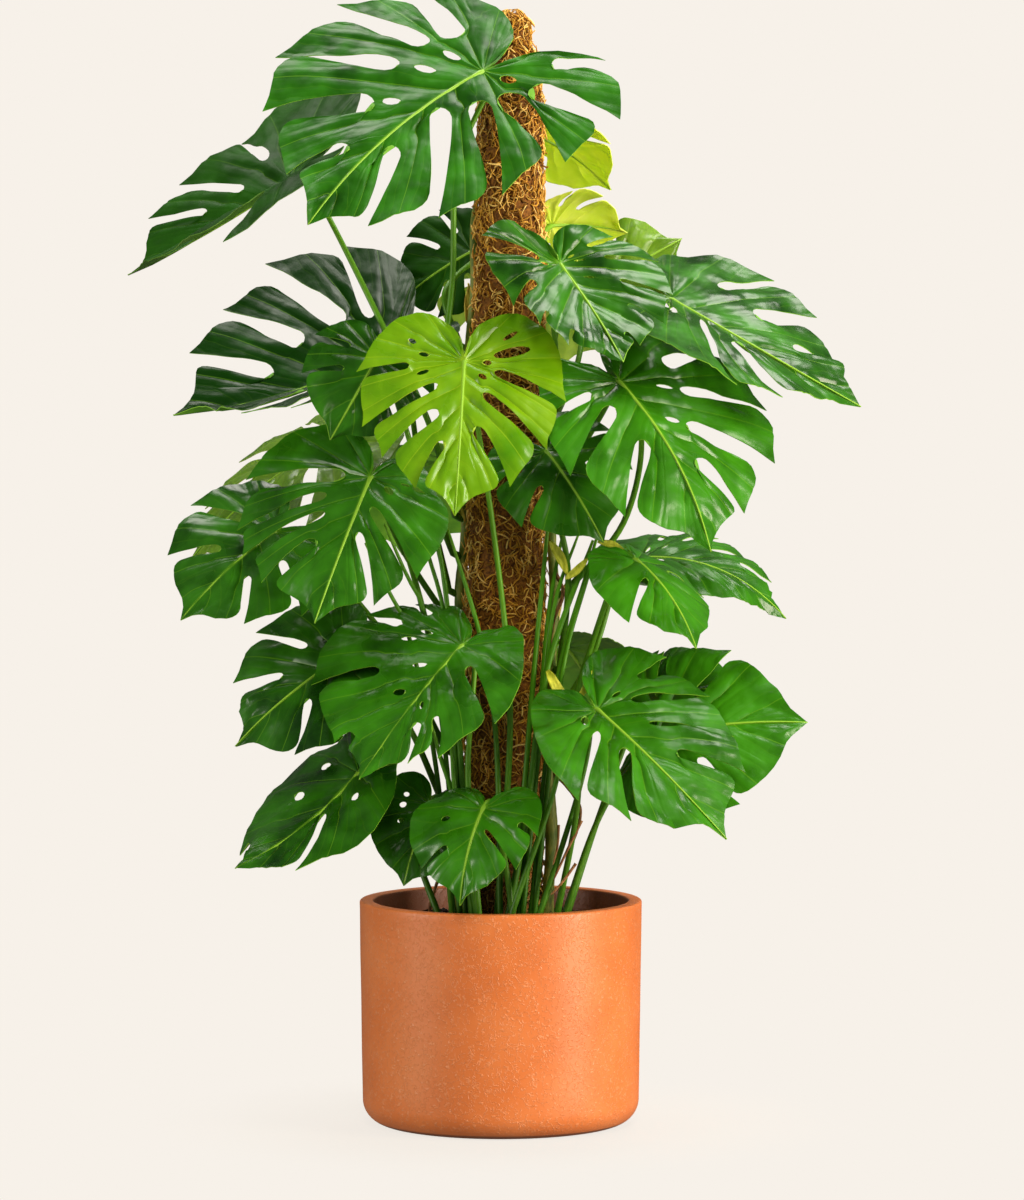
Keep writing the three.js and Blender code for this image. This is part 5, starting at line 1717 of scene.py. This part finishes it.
LEAVES: tuple[Leaf, ...] = (
    Leaf(
        "leaf_01", (-18, -90, 1114), (-196, -205, 952), face=(-5, 38),
        age=LeafAge.SILKY, spread=(1.02, 0.75), base=(1, 1.15), fold=-0.05, arch=0.02, droop=0.05, sway=0.05,
        left=(
            Cut(108, 0.4, 0.07), Cut(83, 0.39, 0.06, hole=0.22), Cut(57, 0.38, 0.07, hole=0.24),
            Cut(33, 0.38, 0.075, hole=0.27), Cut(13, 0.47, 0.05),
        ),
        right=(
            Cut(140, 0.6, 0.05), Cut(104, 0.39, 0.065, hole=0.2), Cut(80, 0.28, 0.075),
            Cut(58, 0.23, 0.07), Cut(38, 0.12, 0.07), Cut(16, 0.3, 0.06),
        ),
        tone=-0.08,
        root=Climbing(2, 740), route=((-58, -52, 810), (-50, -66, 900), (-44, -70, 1020)),
    ),
    Leaf(
        "leaf_02", (-222, -10, 1003), (-395, 10, 902), face=(0, 69),
        age=LeafAge.SHADED, spread=(0.82, 0.74), base=(1.7, 1.1), fold=0.4,
        arch=0.02, droop=0.28, sway=-0.12,
        left=(Cut(75, 0.4, 0.05), Cut(45, 0.25, 0.05), Cut(25, 0.4, 0.04)),
        right=(Cut(60, 0.3, 0.05), Cut(30, 0.35, 0.05)),
        root=Climbing(2, 640), route=((-76, -86, 750), (-116, -94, 835), (-185, -40, 970)),
    ),
    Leaf(
        "leaf_03", (-122, 20, 821), (-345, -30, 756), face=(-10, 56),
        age=LeafAge.SILKY, spread=(1.06, 0.62), base=(0.9, 1.1), fold=0.28, arch=0, droop=0.05, sway=-0.09,
        left=(Cut(92, 0.32, 0.05), Cut(63, 0.35, 0.075), Cut(42, 0.42, 0.08), Cut(20, 0.42, 0.06)),
        right=(Cut(75, 0.4, 0.05), Cut(45, 0.2, 0.06), Cut(27, 0.35, 0.06)),
        tone=-0.3,
        root=Climbing(2, 560), route=((-85, -20, 700),),
    ),
    Leaf(
        "leaf_04", (-127, -125, 816), (-176, -150, 731), face=(10, 20),
        left=FEW_CUTS,
        right=FEW_CUTS,
        root=Climbing(2, 600), route=((-90, -100, 715),),
    ),
    Leaf(
        "leaf_05", (-37, -165, 814), (-46, -210, 655), face=(4, 18),
        age=LeafAge.YOUNG, spread=(0.95, 0.91), base=(1, 1.1),
        left=(
            Cut(107, width=0.03, hole=0.64, half=0.05), Cut(95, width=0.03, hole=0.43, half=0.06),
            Cut(80, 0.54, 0.035), Cut(68, width=0.025, hole=0.4, half=0.06), Cut(54, 0.27, 0.045),
            Cut(36, 0.33, 0.055), Cut(17, 0.43, 0.05),
        ),
        right=(
            Cut(121, width=0.025, hole=0.64, half=0.1), Cut(103, width=0.05, hole=0.52, half=0.2),
            Cut(88, width=0.035, hole=0.23, half=0.05), Cut(72, 0.31, 0.045),
            Cut(60, width=0.03, hole=0.2, half=0.045), Cut(48, 0.24, 0.05), Cut(23, 0.3, 0.06),
        ),
        root=Planted(-4, -58), route=((10, -92, 450), (-8, -104, 640)),
    ),
    Leaf(
        "leaf_06", (62, -120, 914), (125, -200, 812), face=(16, 47),
        spread=(0.78, 1), base=(1.2, 0.8), fold=0.27, arch=-0.04, droop=0.25, sway=-0.05,
        left=(Cut(112, 0.27, 0.05), Cut(69, 0.6, 0.05), Cut(49, 0.85, 0.03), Cut(30, 0.85, 0.03)),
        right=(
            Cut(100, 0.5, 0.03, hole=0.2), Cut(75, 0.45, 0.03, hole=0.2), Cut(50, 0.5, 0.03, hole=0.2),
            Cut(30, 0.6, 0.03), Cut(11, 0.7, 0.03),
        ),
        tone=-0.08,
        root=Climbing(0, 760), route=((58, -60, 815),),
    ),
    Leaf(
        "leaf_07", (180, -10, 878), (379, -50, 764), face=(20, 70),
        spread=(0.88, 0.92), base=(1, 0.8), fold=0.08, arch=0.05, droop=-0.08, sway=0.12,
        left=(Cut(85, width=0.04, hole=0.2), Cut(47, 0.15, 0.03), Cut(30, 0.3, 0.07)),
        right=(Cut(66, 0.5, 0.05), Cut(43, 0.5, 0.06), Cut(20, 0.6, 0.05)),
        tone=-0.16,
        root=Climbing(1, 640), route=((110, -10, 760),),
    ),
    Leaf(
        "leaf_08", (124, -118, 792), (216, -183, 617), face=(23, 51),
        spread=(0.77, 1.15), base=(0.8, 1.1), fold=-0.08, arch=0.04, droop=0.17, sway=-0.05,
        left=(Cut(85, 0.37, 0.04), Cut(60, 0.28, 0.06), Cut(34, 0.3, 0.07)),
        right=(
            Cut(98, 0.47, 0.06), Cut(65, 0.41, 0.05, hole=0.3), Cut(39, 0.33, 0.06, hole=0.22),
            Cut(18, 0.4, 0.06),
        ),
        tone=0.12,
        root=Climbing(0, 560), route=((130, -16, 640), (146, -62, 745)),
    ),
    Leaf(
        "leaf_09", (-135, -120, 693), (-191, -200, 546), face=(-11, 42),
        spread=(1.17, 0.75), base=(1.08, 0.8), fold=-0.07, arch=0.02, droop=0.3,
        left=(Cut(82, 0.2, 0.07), Cut(57, 0.31, 0.05), Cut(42, 0.31, 0.05), Cut(25, 0.43, 0.06)),
        right=(
            Cut(92, 0.6, 0.03, hole=0.5), Cut(70, width=0.04, hole=0.27), Cut(47, 0.18, 0.05),
            Cut(26, 0.22, 0.05),
        ),
        root=Climbing(2, 430), route=((-88, -20, 570),),
    ),
    Leaf(
        "leaf_10", (-238, -20, 632), (-336, -60, 539), face=(-20, 30),
        left=(Cut(70, 0.35, 0.06), Cut(35, 0.4, 0.05)),
        right=(Cut(60, 0.4, 0.05), Cut(30, 0.4, 0.05)),
        root=Climbing(2, 390), route=((-125, 15, 520),),
    ),
    Leaf(
        "leaf_11", (-184, 125, 723), (-342, 105, 585), face=(-60, 50),
        age=LeafAge.OLIVE,
        left=SOME_CUTS,
        right=SOME_CUTS,
        root=Climbing(3, 480), route=((-100, 40, 600),),
    ),
    Leaf(
        "leaf_12", (-40, -110, 518), (-146, -190, 384), face=(-17, 58),
        spread=(1.19, 0.76), base=(0.83, 0.8), fold=0.05, arch=0.03, droop=0.13,
        left=(
            Cut(112, 0.66, 0.045), Cut(88, 0.62, 0.045, hole=0.36), Cut(70, width=0.035, hole=0.4),
            Cut(45, 0.52, 0.06, hole=0.2), Cut(24, width=0.04, hole=0.3), Cut(14, 0.85, 0.03),
        ),
        right=(Cut(60, 0.31, 0.05), Cut(32, 0.6, 0.04), Cut(20, 0.55, 0.05, hole=0.3)),
        tone=0.16,
        root=Planted(-22, -84), route=((-34, -96, 380),),
    ),
    Leaf(
        "leaf_13", (-164, -50, 502), (-279, -60, 406), face=(-15, 45),
        left=(Cut(60, 0.4, 0.05), Cut(30, 0.4, 0.05)),
        right=(Cut(60, 0.3, 0.05), Cut(32, 0.35, 0.05)),
        root=Climbing(2, 330), route=((-100, -30, 430),),
    ),
    Leaf(
        "leaf_14", (-150, -70, 381), (-276, -130, 285), face=(-11, 70),
        spread=(0.97, 0.6), base=(0.8, 0.8), fold=0.03, arch=-0.04, droop=0.15, sway=-0.04,
        left=(Cut(75, width=0.05, hole=0.45), Cut(45, width=0.06, hole=0.5), Cut(13, 0.9, 0.03)),
        right=(Cut(60, width=0.05, hole=0.35), Cut(28, 0.17, 0.05)),
        root=Planted(-64, -26), route=((-112, 12, 335),),
    ),
    Leaf(
        "leaf_15", (-18, -138, 350), (-42, -168, 250), face=(-18, 34),
        spread=(1.06, 0.9), base=(0.85, 1.1), fold=0.16, arch=0.12,
        left=(Cut(59, width=0.05, hole=0.46), Cut(30, 0.5, 0.04)),
        right=(Cut(75, 0.7, 0.05), Cut(44, 0.22, 0.04)),
        tone=0.1,
        root=Planted(14, -74), route=((4, -78, 290),),
    ),
    Leaf(
        "leaf_16", (-75, -57, 347), (-102, -72, 260), face=(-15, 30),
        left=(
            Cut(95, width=0.05, hole=0.5), Cut(70, width=0.06, hole=0.45),
            Cut(48, width=0.05, hole=0.45),
        ),
        right=FEW_CUTS,
        root=Planted(-50, -54), route=((-58, -60, 300),),
    ),
    Leaf(
        "leaf_17", (101, -110, 451), (234, -170, 319), face=(15, 53),
        spread=(0.83, 0.96), base=(0.86, 0.94), fold=0.1, arch=0.07, droop=0.16, sway=0.04,
        left=(Cut(80, width=0.04, hole=0.25), Cut(59, 0.25, 0.04), Cut(37, 0.21, 0.06)),
        right=(
            Cut(92, 0.6, 0.04, hole=0.27), Cut(68, 0.3, 0.04), Cut(46, 0.29, 0.03),
            Cut(26, 0.43, 0.05),
        ),
        tone=0.16,
        root=Planted(58, -50), route=((80, -75, 340),),
    ),
    Leaf(
        "leaf_18", (163, -30, 416), (324, -40, 429), face=(15, 40),
        left=FEW_CUTS,
        right=FEW_CUTS,
        tone=0.1,
        root=Planted(66, -26), route=((105, -30, 330),),
    ),
    Leaf(
        "leaf_19", (159, 30, 454), (256, 20, 461), face=(25, 40),
        left=FEW_CUTS,
        right=FEW_CUTS,
        root=Planted(70, 6), route=((110, 20, 340),),
    ),
    Leaf(
        "leaf_20", (142, -105, 607), (203, -165, 517), face=(37, 61),
        spread=(0.74, 0.88), base=(0.8, 0.8), fold=-0.08, droop=0.34, sway=-0.03,
        left=(Cut(45, 0.24, 0.05),),
        right=(Cut(60, 0.4, 0.05),),
        tone=0.08,
        root=Climbing(0, 400), route=((92, -40, 500),),
    ),
    Leaf(
        "leaf_21", (148, 15, 603), (304, 0, 539), face=(30, 72),
        spread=(0.62, 1), base=(0.75, 1.15), fold=0.11, arch=0.12, droop=0.25, sway=-0.03,
        left=(Cut(60, width=0.04, hole=0.3), Cut(35, width=0.04, hole=0.35)),
        right=(
            Cut(80, 0.5, 0.03, hole=0.2), Cut(60, 0.5, 0.03, hole=0.25), Cut(40, 0.5, 0.04),
            Cut(20, 0.6, 0.04),
        ),
        root=Climbing(1, 400), route=((98, 0, 500),),
    ),
    Leaf(
        "leaf_22", (48, -65, 718), (108, -90, 622), face=(15, 25),
        left=FEW_CUTS,
        right=FEW_CUTS,
        root=Climbing(0, 480), route=((70, -62, 600),),
    ),
    Leaf(
        "leaf_23", (53, 70, 955), (136, 90, 947), face=(150, 30),
        age=LeafAge.LIME,
        left=FEW_CUTS,
        right=FEW_CUTS,
        root=Climbing(1, 760), route=((60, 60, 850),),
    ),
    Leaf(
        "leaf_24", (38, 75, 1052), (119, 110, 992), face=(150, 40),
        age=LeafAge.LIME,
        left=FEW_CUTS,
        right=FEW_CUTS,
        root=Climbing(1, 860), route=((10, 104, 950),),
    ),
    Leaf(
        "leaf_25", (-31, 100, 927), (-111, 110, 870), face=(-30, 20),
        age=LeafAge.SHADED,
        left=FEW_CUTS,
        right=SOME_CUTS,
        root=Climbing(2, 820), route=((-60, 40, 880),),
    ),
    Leaf(
        "leaf_26", (107, 125, 890), (196, 145, 940), face=(30, 20),
        age=LeafAge.OLIVE,
        left=FEW_CUTS,
        right=FEW_CUTS,
        root=Climbing(1, 700), route=((80, 60, 800),),
    ),
    Leaf(
        "leaf_27", (30, 210, 900), (60, 330, 788), face=(165, 35),
        age=LeafAge.OLIVE,
        left=FEW_CUTS,
        right=FEW_CUTS,
        root=Climbing(3, 720), route=((5, 100, 810),),
    ),
    Leaf(
        "leaf_28", (-50, 200, 699), (-111, 325, 588), face=(200, 35),
        left=FEW_CUTS,
        right=FEW_CUTS,
        root=Climbing(3, 540), route=((-35, 105, 620),),
    ),
    Leaf(
        "leaf_29", (70, 150, 500), (120, 260, 390), face=(150, 35),
        left=FEW_CUTS,
        right=FEW_CUTS,
        root=Climbing(1, 350), route=((55, 100, 420),),
    ),
)


@dataclass(frozen=True)
class AerialRoot:
    """A root that leaves a stem and hangs down, named after its CAD node."""

    name: str
    stem: int
    height: float
    path: tuple[Point, ...]
    radius: float = 2.4
    rings: int = 48
    sides: int = 9

    def build(self, bark: bpy.types.Material) -> None:
        """Sweeps the root with small uneven swellings.

        Args:
            bark: its material.
        """
        start = STEMS[self.stem].middle(self.height)
        line = smooth_line([start, *np.array(self.path, float)], self.rings)
        share = np.linspace(0, 1, self.rings)
        radii = self.radius * (1 - 0.55 * share) * (1 + 0.09 * np.sin(23 * share) + 0.06 * np.sin(61 * share))
        points, faces = tube(line, radii, self.sides)
        piece = sheet_piece(self.name + "_bark", points, faces, [bark])
        settle(piece, "root", self.name)


ROOTS: tuple[AerialRoot, ...] = (
    AerialRoot("aerial_root_1", 0, 590, ((66, -28, 566), (57, -34, 540), (51, -38, 500), (54, -36, 470))),
    AerialRoot("aerial_root_2", 0, 380, ((84, -30, 338), (76, -36, 300), (68, -38, 265))),
    AerialRoot("aerial_root_3", 2, 300, ((-62, 8, 270), (-74, 6, 235), (-80, 2, 190))),
    AerialRoot("aerial_root_4", 3, 520, ((-6, 72, 440), (-4, 78, 320), (-8, 80, 190))),
)


@dataclass
class Studio:
    """The plain pale floor, the soft lights and the camera at the photograph's angle, in metres."""

    aim: Point = (0.0, 0.0, 0.6)
    pale: str = "#f7f1e9"
    floor_radius: float = 2.2
    camera_place: Point = (0.012, -6.0, 0.908)
    tilt_down: float = 3.35
    long_side_pixels: float = 1200.0
    focal_pixels: float = 5670.0
    sensor: float = 36.0

    def build(self) -> None:
        """Sets the stage."""
        self.floor()
        self.sky()
        self.light("key_right", (2.9, -1.5, 1.5), 1.5, 124, "#fff1df")
        self.light("key_low", (2.7, -1.4, 0.2), 0.9, 42, "#fff1df")
        self.light("top", (1.1, 0.45, 3.5), 1.4, 68, "#fffaf2")
        self.light("top_left", (-0.6, 1.1, 3.4), 1.2, 34, "#fffaf2")
        self.light("front_high", (0.2, -3.3, 3.1), 0.9, 64, "#fffaf0", shines=False)
        self.light("fill_left", (-2.9, -1.3, 0.7), 1.0, 42, "#fff8ee")
        self.light("back", (0.6, 2.6, 2.0), 1.6, 34, "#ffffff", shines=False)
        self.camera()

    def floor(self) -> None:
        """A round pale floor that fades out into the backdrop."""
        bpy.ops.object.select_all(action="DESELECT")
        bpy.ops.mesh.primitive_circle_add(vertices=96, radius=self.floor_radius, fill_type="NGON")
        floor = bpy.context.active_object
        floor.name = "studio_floor"
        material, tree, shader, place = new_material("seamless_paper")
        far = add_node(tree, "ShaderNodeVectorMath", {0: place}, operation="LENGTH")
        fade = remap(tree, far.outputs["Value"], (0.16, 0.4), (0.12, 0.0), soft=True)
        feed_node(tree, shader, {"Alpha": fade, "Base Color": linear("#d9d2c8"), "Roughness": 0.9})
        floor.data.materials.append(material)

    def sky(self) -> None:
        """Pale to the camera, and dimmer as a light."""
        world = bpy.data.worlds.new("studio")
        bpy.context.scene.world = world
        world.use_nodes = True
        tree = world.node_tree
        tree.nodes.clear()
        shown = add_node(tree, "ShaderNodeBackground", {0: linear(self.pale), 1: 1.0})
        rays = add_node(tree, "ShaderNodeLightPath")
        dim = remap(tree, rays.outputs["Is Glossy Ray"], (0.0, 1.0), (0.29, 0.12))
        lit = add_node(tree, "ShaderNodeBackground", {0: linear("#f7f2e8"), 1: dim})
        sides = {0: rays.outputs[0], 1: lit.outputs[0], 2: shown.outputs[0]}
        both = add_node(tree, "ShaderNodeMixShader", sides)
        add_node(tree, "ShaderNodeOutputWorld", {0: both.outputs[0]})
        bpy.context.scene.view_settings.view_transform = "Standard"

    def light(
        self, name: str, place: Point, size: float, power: float, colour: str, shines: bool = True
    ) -> None:
        """Adds a soft square light that looks at the middle of the plant.

        Args:
            name: its name.
            place: where it stands, in metres.
            size: its side in metres.
            power: its watts.
            colour: its colour.
            shines: whether glossy surfaces mirror it.
        """
        data = bpy.data.lights.new(name, "AREA")
        data.size, data.energy, data.color = size, power, linear(colour)[:3]
        lamp = add_object(name, data)
        lamp.location = place
        lamp.visible_glossy = shines
        way = np.array(self.aim) - np.array(place)
        across = math.hypot(way[0], way[1])
        lamp.rotation_euler = (math.atan2(across, -way[2]), 0, math.atan2(way[1], way[0]) - math.pi / 2)

    def camera(self) -> None:
        """Puts the camera where the photograph was taken from."""
        data = bpy.data.cameras.new("camera")
        data.sensor_width = self.sensor
        data.lens = self.focal_pixels * self.sensor / self.long_side_pixels
        camera = add_object("camera", data)
        camera.location = self.camera_place
        camera.rotation_euler = (math.radians(90 - self.tilt_down), 0, 0)
        bpy.context.scene.camera = camera


def main() -> None:
    """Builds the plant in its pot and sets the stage."""
    Pot().build()
    SoilBed().build()
    MossPole().build()
    bark = Mottled("vine_stem_bark", "#55701f", "#93983e", 5.0, 0.6, 3.0).build()
    for stem in STEMS:
        stem.build(bark)
    Sheaths().build()
    Foliage().build()
    Crowd().build()
    root_bark = Mottled("aerial_root_cork", "#5a351a", "#a0713f", 2.5, 0.85, 4.0).build()
    for root in ROOTS:
        root.build(root_bark)
    Studio().build()
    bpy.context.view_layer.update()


if __name__ == "__main__":
    main()
